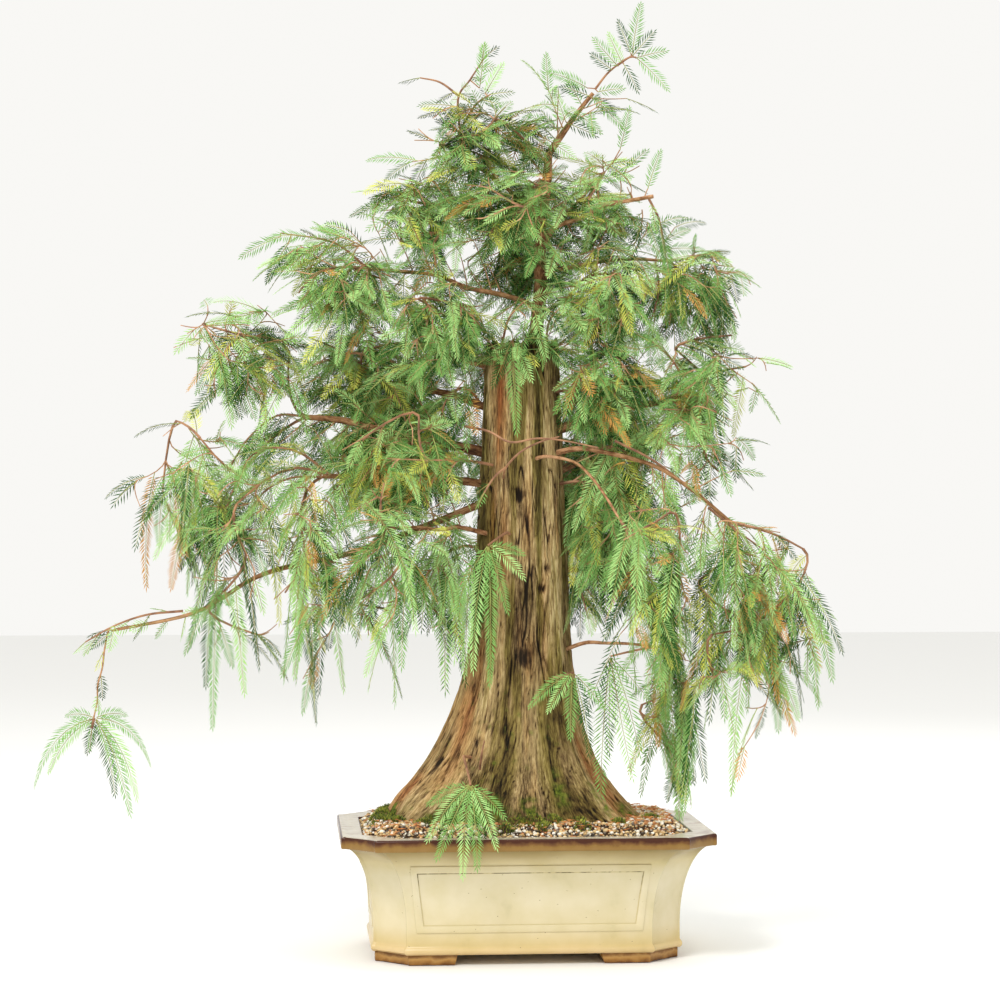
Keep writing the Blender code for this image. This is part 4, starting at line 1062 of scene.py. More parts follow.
# Gaps of sky through the crown, seen from the front: place across and up, half sizes and the
# share of the sprays that is missing there.
openings = [(*metres(row[:4]), row[4]) for row in (
    (-51, 758, 30, 22, 0.75), (-62, 415, 12, 34, 0.88), (212, 490, 42, 30, 0.88), (86, 904, 22, 28, 0.88),
    (120, 950, 18, 30, 0.88), (58, 998, 22, 18, 0.88), (-300, 325, 55, 45, 0.9), (119, 310, 18, 55, 0.88),
    (-165, 870, 30, 22, 0.88), (160, 860, 30, 20, 0.88), (-380, 600, 20, 30, 0.88),
    (250, 250, 30, 40, 0.92), (215, 232, 30, 45, 0.95), (190, 525, 20, 18, 0.88),
    (-385, 640, 16, 30, 0.88), (-408, 552, 30, 18, 0.85), (-215, 318, 60, 30, 0.8),
    (-125, 312, 50, 26, 0.82), (240, 258, 35, 30, 0.85), (163, 515, 34, 34, 0.82), (75, 874, 30, 12, 0.8),
    (-348, 655, 45, 40, 0.65), (-68, 962, 30, 14, 0.8), (262, 610, 18, 50, 0.8), (245, 715, 16, 45, 0.8),
    (-395, 500, 16, 60, 0.8), (314, 430, 22, 50, 0.85), (282, 487, 40, 24, 0.9), (238, 565, 24, 34, 0.8),
    (-333, 606, 30, 22, 0.7), (-252, 726, 20, 18, 0.7), (-165, 776, 34, 22, 0.7),
    (-298, 395, 40, 30, 0.5), (85, 840, 34, 22, 0.6), (129, 834, 22, 30, 0.7), (-110, 894, 22, 22, 0.85),
    (-94, 954, 20, 22, 0.85), (78, 1004, 34, 22, 0.8), (64, 966, 22, 18, 0.85), (129, 285, 18, 45, 0.85),
    (145, 193, 14, 34, 0.92), (300, 320, 20, 40, 0.6))]
sprayForm = {
    "bendLength": 0.092, "fineShare": 0.9, "needleLength": 0.015, "needleWidth": 0.0013,
    "looks": ((0.0026, 0.0134), (0.0029, 0.015), (0.004, 0.0176)), "needleAngle": 54,
    "lookShares": (0.42, 0.40, 0.18), "stalk": 0.05, "rib": (0.0006, 0.00025),
    "lengths": (0.02, 0.03, 0.045, 0.062, 0.08, 0.1, 0.125, 0.155), "perArea": 530,
    "edge": 0.98, "ragged": (0.74, 0.46, 1.7, 0.7), "farthest": (0.436, 0.219),
    "opening": (32, 58), "sway": 0.08, "shootSpacing": 0.012, "shootLength": (0.03, 0.07),
}
rimShoots = {
    "count": 22, "from": 176, "step": 9, "below": (0.002, 0.020), "out": (0.016, 0.030),
    "rise": (-0.004, 0.030),
}
# How sprays stand on a twig: their spacing, their length when full and the least one kept.
habits = {
    "open": {"spacing": 0.0105, "full": (0.05, 0.105), "least": 0.024},
    "weeping": {"spacing": 0.012, "full": (0.08, 0.165), "least": 0.03},
    "short": {"spacing": 0.01, "full": (0.028, 0.07), "least": 0.018},
    "tiny": {"spacing": 0.009, "full": (0.014, 0.03), "least": 0.011},
    "scattered": {"spacing": 0.023, "full": (0.014, 0.034), "least": 0.011},
}
# Loose shoots: the path of each and how sprays stand on it.
strays = {
    "tip": (((81.5, 6, 944), (94, 4, 960), (106, 2, 970), (121.4, 0, 980)), "bare"),
    "tip_side": (((106, 2, 970), (118, -4, 977), (125.8, -6, 977)), "bare"),
    "spire": (((-65.2, -2, 880), (-69.6, 0, 931), (-56.4, 0, 953), (-40, 0, 978)), "tiny"),
    "spire_side": (((-69.6, 0, 936), (-89.4, 4, 951), (-111.3, 4, 956)), "tiny"),
    "spire_right": (((-66, 0, 900), (-50, -6, 925), (-34, -8, 936)), "tiny"),
    "across_high": ((
        (-62, -34, 572), (-36, -58, 566), (-12, -68, 554), (16, -70, 558), (43, -68, 556),
        (82, -70, 548)), "bare"),
    "across_low": ((
        (-20, -36, 515), (-17, -62, 527), (-2, -70, 543), (19, -70, 554), (40, -68, 560)), "bare"),
    "across_drop": (((-17, -62, 527), (-30, -72, 516), (-45, -78, 492)), "tiny"),
    "left_gap": (((-236, 28, 584), (-270, 20, 585), (-300, 5, 560), (-318, -5, 530)), "open"),
    "left_shelf_gap": (((-205, -20, 517), (-245, -35, 545), (-285, -45, 545), (-310, -45, 515)), "open"),
    "left_high_gap": (((-158, 60, 626), (-195, 45, 655), (-235, 25, 672)), "open"),
    "left_top_gap": (((-168, -30, 744), (-205, -30, 772), (-262, -30, 782)), "short"),
    "left_stem_gap": (((-40, 20, 594), (-62, -10, 615), (-82, -32, 600), (-88, -40, 575)), "open"),
    "right_gap": (((186, -30, 605), (165, -32, 642), (142, -34, 664)), "open"),
    "right_high_gap": (((138, -28, 820), (150, -18, 798), (156, -10, 772)), "short"),
    "right_stem_gap": (((46, 20, 412), (62, -12, 400), (70, -34, 372)), "open"),
    "right_long_gap": (((200, -68, 484), (226, -78, 462), (262, -82, 436)), "open"),
    "left_low_gap": (((-214, -20, 517), (-250, -30, 516), (-280, -35, 500), (-294, -35, 474)), "open"),
    "left_mid_gap": (((-90, -10, 782), (-96, -28, 768), (-92, -36, 744)), "short"),
    "right_top_gap": (((148, 10, 754), (150, -12, 722), (142, -22, 690)), "open"),
    "rim_left": (((-22, -34, 658), (-14, -45, 688), (2, -46, 706)), "short"),
    "rim_right": (((26, -28, 658), (30, -44, 686), (44, -48, 702)), "short"),
    "right_arc": (((100, -55, 556), (144, -58, 533), (192, -58, 495), (230, -60, 460)), "bare"),
    "back_mid": (((0, 30, 600), (10, 80, 632), (20, 130, 630), (22, 165, 605)), "open"),
    "back_mid_left": (((-20, 20, 620), (-60, 75, 650), (-100, 120, 645), (-125, 145, 620)), "open"),
    "back_mid_right": (((20, 20, 600), (65, 70, 632), (105, 105, 625), (130, 130, 600)), "open"),
    "back_low": (((0, 30, 410), (8, 90, 435), (12, 135, 415), (14, 150, 375)), "weeping"),
    "back_low_left": (((-20, 30, 430), (-36, 90, 455), (-48, 130, 435), (-55, 145, 400)), "weeping"),
    "back_low_right": (((20, 30, 420), (50, 80, 445), (72, 120, 430), (80, 135, 395)), "weeping"),
    "back_top": (((18, 6, 820), (20, 45, 848), (22, 80, 850), (22, 105, 830)), "open"),
    "whip_side": (((-366, -46, 372), (-405, -50, 368), (-440, -54, 356), (-470, -56, 339)), "scattered"),
    "pot_twig": (((-45, -85, 205), (-43, -105, 222), (-40, -118, 238)), "tiny"),
}
# Single sprays: foot, degrees from straight down toward the right, length, tint.
loneSprays = (
    (-329, -45, 425, -2, 155, "mid"), (-333, -40, 400, -8, 100, "deep"),
    (-250, -45, 515, 12, 70, "fresh"), (-244, -48, 505, -14, 66, "lime"),
    (-205, -40, 512, 5, 76, "fresh"), (-196, -40, 506, 26, 60, "mid"), (-252, -10, 622, 24, 60, "mid"),
    (-262, -4, 618, -28, 62, "fresh"), (-62, -30, 622, 2, 70, "mid"), (-55, -34, 612, -24, 60, "deep"),
    (-72, -34, 478, -6, 62, "fresh"), (-78, -30, 470, 22, 50, "mid"), (196, -70, 462, -4, 70, "mid"),
    (188, -68, 456, -26, 60, "fresh"), (184, -80, 292, -2, 120, "mid"), (180, -70, 290, 8, 90, "deep"),
    (268, -70, 322, 8, 72, "mid"), (276, -68, 312, 24, 56, "fresh"), (-190, -30, 702, -10, 60, "fresh"),
    (-176, -28, 696, 16, 60, "mid"), (-205, -34, 690, -36, 58, "lime"),
    (-216, -34, 700, -58, 50, "fresh"), (-262, -30, 778, -70, 50, "mid"),
    (-254, -30, 770, -34, 46, "deep"), (-372, -4, 534, -36, 72, "mid"), (-365, -6, 520, -52, 70, "deep"),
    (-46, 0, 944, 172, 50, "mid"), (-40, 0, 938, 150, 40, "fresh"), (16, -10, 905, -62, 50, "mid"),
    (18, -10, 872, -50, 54, "deep"), (20, -10, 840, -44, 50, "mid"), (22, -8, 890, 60, 44, "fresh"),
    (108, 0, 876, 166, 50, "mid"), (138, -12, 832, 164, 46, "mid"), (121.4, 0, 980, 173, 61, "mid"),
    (120, 0, 982, 200, 40, "deep"), (125.8, 0, 977, 107, 37, "mid"), (125.8, -4, 977, 49, 50, "mid"),
    (122, -4, 979, 140, 36, "deep"), (106, 0, 968, -137, 42, "mid"), (100, 0, 964, -125, 30, "deep"),
    (111, 0, 971, -153, 38, "fresh"), (112, -4, 970, 30, 34, "deep"), (73.1, 0, 944, -120, 57, "mid"),
    (75.3, 0, 935, -112, 36, "deep"), (84, 0, 940, 100, 30, "mid"), (77.5, -4, 934, 47, 52, "mid"),
    (58.8, -4, 918, 52, 38, "mid"), (48.9, 0, 907, -160, 40, "fresh"), (42.4, 0, 898, -120, 42, "mid"),
    (50, -4, 905, 70, 36, "deep"), (66, 0, 926, -150, 34, "mid"), (30, 4, 940, 186, 44, "mid"),
    (4, -52, 690, -8, 52, "mid"), (14, -54, 694, 14, 50, "fresh"), (24, -50, 700, 40, 44, "deep"),
    (-90, -10, 786, -22, 54, "mid"), (-98, -12, 780, 18, 50, "deep"), (146, -20, 700, -6, 60, "mid"),
    (138, -20, 690, 16, 56, "fresh"), (130, -10, 790, -20, 52, "deep"), (138, -12, 796, 22, 52, "mid"),
)
# Limbs that carry short leafy shoots, and the share of their length where those begin.
leafyLimbs = {
    "left_shelf": 0.3, "left_short": 0.35, "left_thick": 0.12, "left_rising": 0.1, "left_chop": 0.12,
    "left_upper": 0.12, "left_high": 0.2, "left_top": 0.2, "right_high": 0.2, "right_upper": 0.12,
    "right_thick": 0.12, "right_long": 0.55, "right_low": 0.25, "back": 0.06, "back_left": 0.06,
    "back_right": 0.06,
}
# Tints by share of the sprays: in the open, inside the crown, and where autumn has begun. Fresh, mid and
# deep are one green painted lit, half lit and in shade: fresh is painted light, deep is painted shade
# inside the crown; lime and autumn are the needles' own colours.
tints = {
    "needles_fresh": "A9D281", "needles_mid": "7AA858", "needles_deep": "305824",
    "needles_lime": "CCD060", "needles_autumn": "CE9850",
}
tintShares = {
    "open": (0.5, 0.36, 0.03, 0.1, 0.01),
    "inner": (0.05, 0.33, 0.59, 0.02, 0.01),
    "turning": (0.22, 0.22, 0.1, 0.24, 0.22),
}
# Share of the sprays that have begun to turn, in the masses where more than a few have.
turningShares = {
    "left_shelf": 0.35, "left_short": 0.25, "left_inner": 0.35, "left_outer": 0.18, "left_mid": 0.15,
    "right_front": 0.2, "right_drop": 0.3, "right_long": 0.3, "right_low": 0.15, "right_under": 0.2,
    "right_mid": 0.2, "right_inner": 0.15, "top_left": 0.12, "left_rising": 0.15,
}
laidSingly = ("crown_tip", "top_spire")  # solids whose sprays are all single ones
topMasses = ("top_left", "leader_mid", "upper_left", "upper_right")
gathered = {}  # kind of piece: lists of points and faces
twigPlaces = []  # places on twigs and limbs where a lone spray's stem may start


def gather(kind, points, faces):
    lists = gathered.setdefault(kind, ([], []))
    lists[0].append(points)
    lists[1].append(faces)


def pointInBall(seeded):
    while True:
        point = Vector([seeded.uniform(-1.0, 1.0) for axis in range(3)])
        if point.length <= 1.0:
            return point


def roomiest(places, taken):
    return max(places, key=lambda place: min((place - other).length for other in taken))


def growTwigs(name, start, collar, centre, halves, count, hang):
    # Spread the twigs' ends evenly through the space, then join each, nearest first,
    # to the closest twig, preferring one that it can hang from.
    seeded = random.Random(f"foliage_{name} twigs")
    lift = twigForm["lift"] * min(hang, 1.0) * halves[2]
    ends = []
    for index in range(count):
        places = []
        for candidate in range(twigForm["candidates"]):
            x, y, z = [part * half * twigForm["share"] for part, half in zip(pointInBall(seeded), halves)]
            places.append(centre + Vector((x, y, z + lift)))
        ends.append(roomiest(places, ends + [collar]))
    ends.sort(key=lambda place: (place - collar).length)
    nodes = [start, collar]
    parents = [None, 0]
    for place in ends:
        costs = []
        for index, node in enumerate(nodes[1:], start=1):
            climb = max(0.0, place.z - node.z)
            costs.append(((place - node).length + twigForm["climb"] * climb, index))
        parents.append(min(costs)[1])
        nodes.append(place)
    return nodes, parents


def massStart(limb, *rest):
    # Where a mass's twigs start and which way: off a limb's tip, the leader or the bark.
    if limb != "trunk":
        return stemStart(limbPaths[limb], *rest)
    height, angle = rest
    turn = math.radians(angle)
    heading = Vector((math.cos(turn), math.sin(turn), 0.15)).normalized()
    if height > trunkShape["chop"]:
        return leaderPoint(height), heading
    return trunkPoint(height, angle) - heading * 0.004, heading


def makeNeedle():
    # One needle, from a three-sided cone: a keeled sliver, widest before its middle.
    deselectAll()
    bpy.ops.mesh.primitive_cone_add(vertices=3, radius1=0.5, depth=1.0, end_fill_type="NGON")
    needle = bpy.context.object
    faces = np.array([tuple(face.vertices) for face in needle.data.polygons])
    bpy.data.objects.remove(needle)
    wide = sprayForm["needleWidth"] / sprayForm["needleLength"]
    points = np.array([(0.0, 0.0, 0.0), (0.42, 0.5 * wide, -0.28 * wide),
                       (0.42, -0.5 * wide, -0.28 * wide), (1.0, 0.0, 0.0)])
    first, second, third = [points[faces[:, corner]] for corner in range(3)]
    volume = np.einsum("ij,ij->i", first, np.cross(second, third)).sum()
    return points, faces if volume > 0 else faces[:, ::-1]


needlePoints, needleFaces = makeNeedle()


def makeSprayKind(length, look, seeded):
    # A flat feather of needles in two ranks: along the rib, across it and above it.
    spacing, longest = look
    stalk = sprayForm["stalk"]
    pairs = max(5, int(length * (1 - stalk) / spacing))
    fold = seeded.uniform(-0.22, 0.10)
    points = []
    faces = []
    for index in range(2 * pairs + 1):
        side = 1 if index % 2 else -1
        share = stalk + (0.985 - stalk) * index / (2 * pairs)
        grow = min(1.0, 0.5 + 1.9 * share) * (1.0 - 0.62 * max(0.0, share - 0.5) / 0.5)
        size = longest * grow * seeded.uniform(0.88, 1.08)
        size *= 0.70 + 0.30 * min(1.0, length / 0.11)
        angle = math.radians(sprayForm["needleAngle"] - 14 * share + seeded.uniform(-7, 7))
        if index == 2 * pairs:
            angle = 0.05
        ahead = np.array((math.cos(angle), side * math.sin(angle), fold + seeded.uniform(-0.12, 0.12)))
        ahead /= np.linalg.norm(ahead)
        across = np.array((-side * math.sin(angle), math.cos(angle), 0.0))
        local = needlePoints * sprayForm["needleLength"]
        local[:, 0] *= size / sprayForm["needleLength"]
        shaped = local[:, :1] * ahead + local[:, 1:2] * across + local[:, 2:] * np.cross(ahead, across)
        shaped[:, 0] += share * length
        points.append(shaped)
        faces.append(needleFaces + index * len(needlePoints))
    return np.concatenate(points), np.concatenate(faces)


def makeRibKind(length):
    # The spray's rib: a thin three-sided stem that tapers to the tip.
    steps = 6
    thick, thin = sprayForm["rib"]
    points = []
    for step in range(steps + 1):
        share = step / steps
        radius = thick + (thin - thick) * share
        for corner in range(3):
            turn = 2 * math.pi * corner / 3 + 0.5
            points.append((share * length * 0.99, radius * math.cos(turn), radius * math.sin(turn)))
    return np.array(points), tubeFaces(steps + 1, 3)


sprayKinds = {}
for kindLength in sprayForm["lengths"]:
    kindSeed = random.Random(f"spray {kindLength}")
    sprayKinds[kindLength] = [makeSprayKind(kindLength, look, kindSeed) for look in sprayForm["looks"]]
ribKinds = {kindLength: makeRibKind(kindLength) for kindLength in sprayForm["lengths"]}


def ribPoint(root, heading, hang, travel):
    # The rib sets out along its heading and bends down more and more.
    share = travel / sprayForm["bendLength"]
    return root + travel * (heading * (1 - 0.25 * hang * share) + downward * (0.45 * hang * share))


def bendTo(points, root, heading, side, hang, sway, stretch):
    # Carries a flat spray onto its arching rib.
    travel = points[:, :1] * stretch
    share = travel / sprayForm["bendLength"]
    head = np.array(heading)
    down = np.array(downward)
    across = np.array(side)
    rib = travel * (head * (1 - 0.25 * hang * share) + down * (0.45 * hang * share))
    rib = rib + across * sway * travel * share
    slope = head * (1 - 0.5 * hang * share) + down * (0.9 * hang * share) + across * (2 * sway * share)
    slope = slope / np.linalg.norm(slope, axis=1, keepdims=True)
    above = np.cross(slope, across)
    beside = np.cross(above, slope)
    return np.array(root) + rib + beside * points[:, 1:2] + above * points[:, 2:3]


def laySpray(foot, aim, side, hang, sway, length, look, tint):
    # One spray and its rib, from the nearest length that is modelled, stretched to this one.
    kindLength = min(sprayForm["lengths"], key=lambda one: abs(one - length))
    bend = (foot, aim, side, hang, sway, length / kindLength)
    for kind, form in ((tint, sprayKinds[kindLength][look]), ("ribs", ribKinds[kindLength])):
        gather(kind, bendTo(form[0], *bend), form[1])


def addSpray(root, heading, hang, length, roll, tint, seeded):
    side = upward.cross(heading)
    if side.length < 0.45:
        side = Vector((1.0, seeded.uniform(-0.8, 0.8), 0.0))
    side = (side - heading * side.dot(heading)).normalized()
    side.rotate(Matrix.Rotation(roll, 3, heading))
    sway = seeded.uniform(-0.10, 0.10)
    look = seeded.choices(range(3), sprayForm["lookShares"])[0]
    laySpray(root, heading, side, hang, sway, length, look, tint)


def frontAim(degrees, lean):
    # A direction by its degrees from straight down toward the right, leaning to the front.
    turn = math.radians(degrees)
    return Vector((math.sin(turn), -lean, -math.cos(turn))).normalized()


def broadSide(aim, splay, seeded):
    # Across a spray that shows its broad side to the front.
    side = aim.cross(Vector((0.0, -1.0, 0.0)))
    return (side + Vector((0.0, seeded.uniform(-splay, splay), 0.0))).normalized()


def twigPath(start, end, leaving, hang):
    # A twig leaves along its parent's direction and then bows to its own end.
    length = (end - start).length
    knee = start + leaving * (0.36 * length) + upward * (0.05 * length * (1 - 0.5 * hang))
    knee = knee.lerp(start.lerp(end, 0.5), 0.5 - 0.3 * hang)
    path = []
    for step in range(5):
        part = step / 4
        path.append(start * (1 - part) ** 2 + knee * (2 * part * (1 - part)) + end * part ** 2)
    return path


def pathLength(path):
    return sum((after - place).length for place, after in zip(path, path[1:]))


def alongPath(path, share):
    # The place at a share of a path, and its direction there.
    spot = share * (len(path) - 1)
    low = min(int(spot), len(path) - 2)
    return path[low].lerp(path[low + 1], spot - low), (path[low + 1] - path[low]).normalized()


def insideShare(place, centre, halves):
    offset = place - centre
    return math.sqrt(sum((part / half) ** 2 for part, half in zip(offset, halves)))


def dealTint(seeded, name, place, centre, halves):
    # Painted light and shade: sprays high and to the front of their mass take the lit tints, those low,
    # at the back (y above 0.07) or above 0.86 m the deep tint of painted shade; noise clumps and chance
    # mix them, and some sprays have begun to turn.
    turning = turningShares.get(name, 0.03)
    offset = [part / half for part, half in zip(place - centre, halves)]
    clump = noise.noise(place * 26)
    light = 0.30 * offset[2] - 0.42 * offset[1] + 1.5 * clump + seeded.uniform(-0.35, 0.35)
    if place.y > 0.07 or place.z > 0.86:
        light -= 0.35
    if seeded.random() < turning * (1 + 1.6 * noise.noise(place * 30 + Vector((5.0, 5.0, 5.0)))):
        group = "turning"
    else:
        group = "inner" if light < -0.02 else "open"
    return seeded.choices(list(tints), tintShares[group])[0]


def growMass(name, source, form):
    # The twigs of a mass, each dressed with sprays, then finer ones until it is full enough.
    start, heading = massStart(*source)
    step = twigForm["collar"]
    if source[0] == "trunk":
        onLeader = source[1] > trunkShape["chop"]
        step += leaderRadius(source[1]) if onLeader else twigForm["ontoTrunk"]
    collar = start + heading * step
    if name in fans:
        layTwig([start, collar], 1.0, 1.0, True)
        growFan(name, collar)
        return 0.0
    middle, halves, twigCount, hang, full = form
    centre = Vector(metres(middle))
    halves = metres(halves)
    nodes, parents = growTwigs(name, start, collar, centre, halves, twigCount, hang)
    seeded = random.Random(f"foliage_{name} finer")
    weep = min(hang, 1.0)
    space = (centre, halves, hang)
    layTwig([start, start.lerp(collar, 0.5), collar], 1.0, 1.0, True)
    paths = []
    leaving = {1: heading}
    for index in range(2, len(nodes)):
        parent = parents[index]
        path = twigPath(nodes[parent], nodes[index], leaving[parent], weep)
        leaving[index] = (path[-1] - path[-2]).normalized()
        paths.append(path)
    habit = habits["short" if name in topMasses else "weeping" if hang >= 0.9 else "open"]
    wanted = sprayForm["perArea"] * math.pi * halves[0] * halves[2] * full
    made = 0.0
    for index, path in enumerate(paths, 2):
        added = dressTwig(name, path, space, seeded, habit)
        if added or index in parents:
            layTwig(path, 0.95, 0.6, True)
        made += added
    for path, parent in zip(paths, parents[2:]):
        if parent == 1:
            beside = (path[1].lerp(path[3], 0.5), (0.050, 0.045, 0.042), 0.6 * hang)
            dressTwig(name, path, beside, seeded, habits["short"])
    joints = [joint for path in paths for joint in jointsOf(path, 1)]
    ends = [place for place, direction in joints]
    for turn in range(twigForm["finerMost"]):
        if made >= wanted:
            break
        places = []
        for candidate in range(twigForm["finerCandidates"]):
            part = pointInBall(seeded)
            place = centre + Vector([a * b * sprayForm["fineShare"] for a, b in zip(part, halves)])
            place.z += 0.10 * weep * halves[2]
            places.append(place)
        best = roomiest(places, ends)
        costs = []
        for joint, (place, direction) in enumerate(joints):
            climb = max(0.0, best.z - place.z) * weep
            away = best - place
            turned = twigForm["turnCost"] * (1 - direction.dot(away.normalized()))
            costs.append((away.length + twigForm["climb"] * climb + turned, joint))
        place, direction = joints[min(costs)[1]]
        path = twigPath(place, best, direction, weep)
        ends.append(best)
        added = dressTwig(name, path, space, seeded, habit)
        if added:
            layTwig(path, 0.5, 0.3, False)
            joints += jointsOf(path, 2)
            made += added
    return made


def layTwig(path, thick, thin, old):
    # Its two radii are shares of a stout twig's; old twigs have more sides.
    twigPlaces.extend(tuple(place) for place in path)
    thick, thin = thick * twigForm["radius"], thin * twigForm["radius"]
    radii = [thick + (thin - thick) * step / (len(path) - 1) for step in range(len(path))]
    points, faces = tubeArrays(path, radii, 5 if old else 3, 0.0, 0.0)
    gather("twigs_old" if old else "twigs_young", points, faces)


def jointsOf(path, first):
    # Places along a twig, with its direction there, where finer twigs may start.
    joints = [(place, (after - place).normalized())
              for place, after in zip(path[first:-1], path[first + 1:])]
    return joints + [(path[-1], (path[-1] - path[-2]).normalized())]


def hidesTrunk(name, place):
    # Only shoots on the cut's rim hang before the trunk, and nothing grows into it.
    if place.z > trunkShape["chop"]:
        return False
    half = trunkHalfWidth(place.z)
    away = Vector((place.x - trunkCentre(place.z), place.y / trunkShape["depthRatio"]))
    if away.length < half + 0.002:
        return True
    if name == "rim" or place.y > 0:
        return False
    return abs(away.x) < half * 0.82 and place.z > trunkShape["foot"] + 0.02


def growFan(name, collar):
    # A twig to the fan's foot and its sprays, broad side to the front.
    foot, hang, rays = fans[name]
    root = Vector(metres(foot))
    seeded = random.Random(f"foliage_{name} fan")
    layTwig(twigPath(collar, root, (root - collar).normalized(), 0.2), 0.9, 0.6, True)
    for degrees, lean, length, tint in rays:
        aim = frontAim(degrees, lean)
        side = broadSide(aim, 0.35, seeded)
        look = 2 if name == "right_base" else seeded.randrange(2)
        sway = seeded.uniform(-sprayForm["sway"], sprayForm["sway"])
        laySpray(root + aim * 0.002, aim, side, hang, sway, length / 1000, look, "needles_" + tint)


def openShare(place):
    # The share of sprays missing at a place, as a gap of sky seen from the front.
    scale = cameraPlace["back"] / (cameraPlace["back"] + place.y)
    x = cameraPlace["across"] + (place.x - cameraPlace["across"]) * scale
    z = cameraPlace["height"] + (place.z - cameraPlace["height"]) * scale
    for across, up, wide, tall, share in openings:
        if ((x - across) / wide) ** 2 + ((z - up) / tall) ** 2 < 1:
            return share
    return 0.0


def dressTwig(name, path, space, seeded, habit):
    # Sprays to both sides in turn along a twig and one at its end; gives their length in all.
    centre, halves, hang = space
    weep = min(hang, 1.0)
    made = 0.0
    number = max(2, round(pathLength(path) / habit["spacing"]))
    sideSign = seeded.choice((-1, 1))
    for turn in range(number + 1):
        root, ahead = alongPath(path, 0.12 + 0.88 * turn / number)
        side = upward.cross(ahead)
        if side.length < 0.25:
            side = Vector((seeded.uniform(-1, 1), seeded.uniform(-1, 1), 0.0))
        side = side.normalized()
        side.rotate(Matrix.Rotation(seeded.uniform(-0.9, 0.9) * (0.6 + weep), 3, ahead))
        sideSign = -sideSign
        opening = 0.0 if turn == number else math.radians(seeded.uniform(*sprayForm["opening"]))
        aim = ahead * math.cos(opening) + side * (sideSign * math.sin(opening))
        outward = Vector([part / half for part, half in zip(root - centre, halves)])
        high = min(1.0, max(0.0, outward.z))
        aim += outward * (0.25 * min(1.0, outward.length)) + downward * (0.55 * weep * (1 - 0.6 * high))
        aim.z *= 0.55 + 0.45 * weep
        aim.normalize()
        reach = seeded.uniform(*habit["full"])
        least, spare, power, uneven = sprayForm["ragged"]
        ragged = least + spare * seeded.random() ** power + uneven * noise.noise(root * 34)
        while reach > habit["least"]:
            tip = ribPoint(root, aim, hang, reach)
            place = planting @ tip
            inside = insideShare(tip, centre, halves) <= sprayForm["edge"] * ragged
            inside = inside and abs(place.x) < sprayForm["farthest"][0]
            if inside and abs(place.y) < sprayForm["farthest"][1] and not hidesTrunk(name, tip):
                break
            reach -= 0.006
        middle = ribPoint(root, aim, hang, reach / 2)
        if reach <= habit["least"] or hidesTrunk(name, middle):
            continue
        if seeded.random() < max(openShare(middle), openShare(tip)):
            continue
        roll = seeded.uniform(-1.2, 1.2) * (0.6 + 0.5 * weep)
        tint = dealTint(seeded, name, ribPoint(root, aim, hang, reach * 0.6), centre, halves)
        addSpray(root, aim, weep, reach, roll, tint, seeded)
        made += reach
    return made


def growShoots(name, path, begin):
    # Short leafy shoots all along a limb, as they break from its older wood.
    seeded = random.Random(name + " shoots")
    made = 0.0
    number = int(pathLength(path) * (1 - begin) / sprayForm["shootSpacing"])
    for turn in range(number):
        root, ahead = alongPath(path, begin + (1 - begin) * (turn + seeded.random()) / number)
        side = ahead.orthogonal().normalized()
        side.rotate(Matrix.Rotation(seeded.uniform(0, 2 * math.pi), 3, ahead))
        reach = seeded.uniform(*sprayForm["shootLength"])
        end = root + (side * 0.8 + ahead * 0.5 + upward * 0.1).normalized() * reach
        if hidesTrunk(name, end):
            continue
        twig = twigPath(root, end, (side + ahead * 0.4).normalized(), 0.6)
        added = dressTwig(name, twig, (end, (0.075, 0.075, 0.075), 0.7), seeded, habits["short"])
        if added:
            layTwig(twig, 0.5, 0.3, False)
            made += added
    return made


def growStrays():
    # Loose shoots that stray from the masses, bare or with a few small sprays.
    made = 0.0
    for name, (points, habit) in strays.items():
        seeded = random.Random(name + " stray")
        path = smoothPath([Vector(metres(point)) for point in points], 5)
        layTwig(path, 0.85, 0.45, True)
        if habit != "bare":
            space = (path[len(path) // 2], (0.085, 0.075, 0.075), 0.7)
            made += dressTwig("stray", path, space, seeded, habits[habit])
        if name.startswith("back"):
            made += growShoots(name, path, 0.15)
    seeded = random.Random("whip leaves")
    for name, first in (("left_whip", 9), ("left_whip_drop", 0)):
        whip = smoothPath(limbPaths[name], 5)
        space = (whip[-1], (0.3, 0.3, 0.3), 0.9)
        made += dressTwig("stray", whip[first:], space, seeded, habits["scattered"])
    return made


def growLoneSprays():
    # Each on a thin stem from the nearest twig or limb, broad side to the front.
    seeded = random.Random("lone sprays")
    for path in limbPaths.values():
        twigPlaces.extend(tuple(place) for place in smoothPath(path, 5))
    for step in range(40):
        twigPlaces.append(tuple(leaderPoint(0.67 + 0.0065 * step)))
    stems = np.array(twigPlaces)
    made = 0.0
    for *place, degrees, length, tint in loneSprays:
        foot = Vector(metres(place))
        start = Vector(stems[np.argmin(np.linalg.norm(stems - np.array(foot), axis=1))])
        if (foot - start).length > 0.002:
            layTwig(twigPath(start, foot, (foot - start).normalized(), 0.2), 0.5, 0.4, False)
        aim = frontAim(degrees, 0.15)
        side = broadSide(aim, 0.5, seeded)
        hang = 0.15 if abs(degrees) > 120 else 0.5
        sway = seeded.uniform(-sprayForm["sway"], sprayForm["sway"])
        laySpray(foot, aim, side, hang, sway, length / 1000, seeded.randrange(2), "needles_" + tint)
        made += length / 1000
    return made


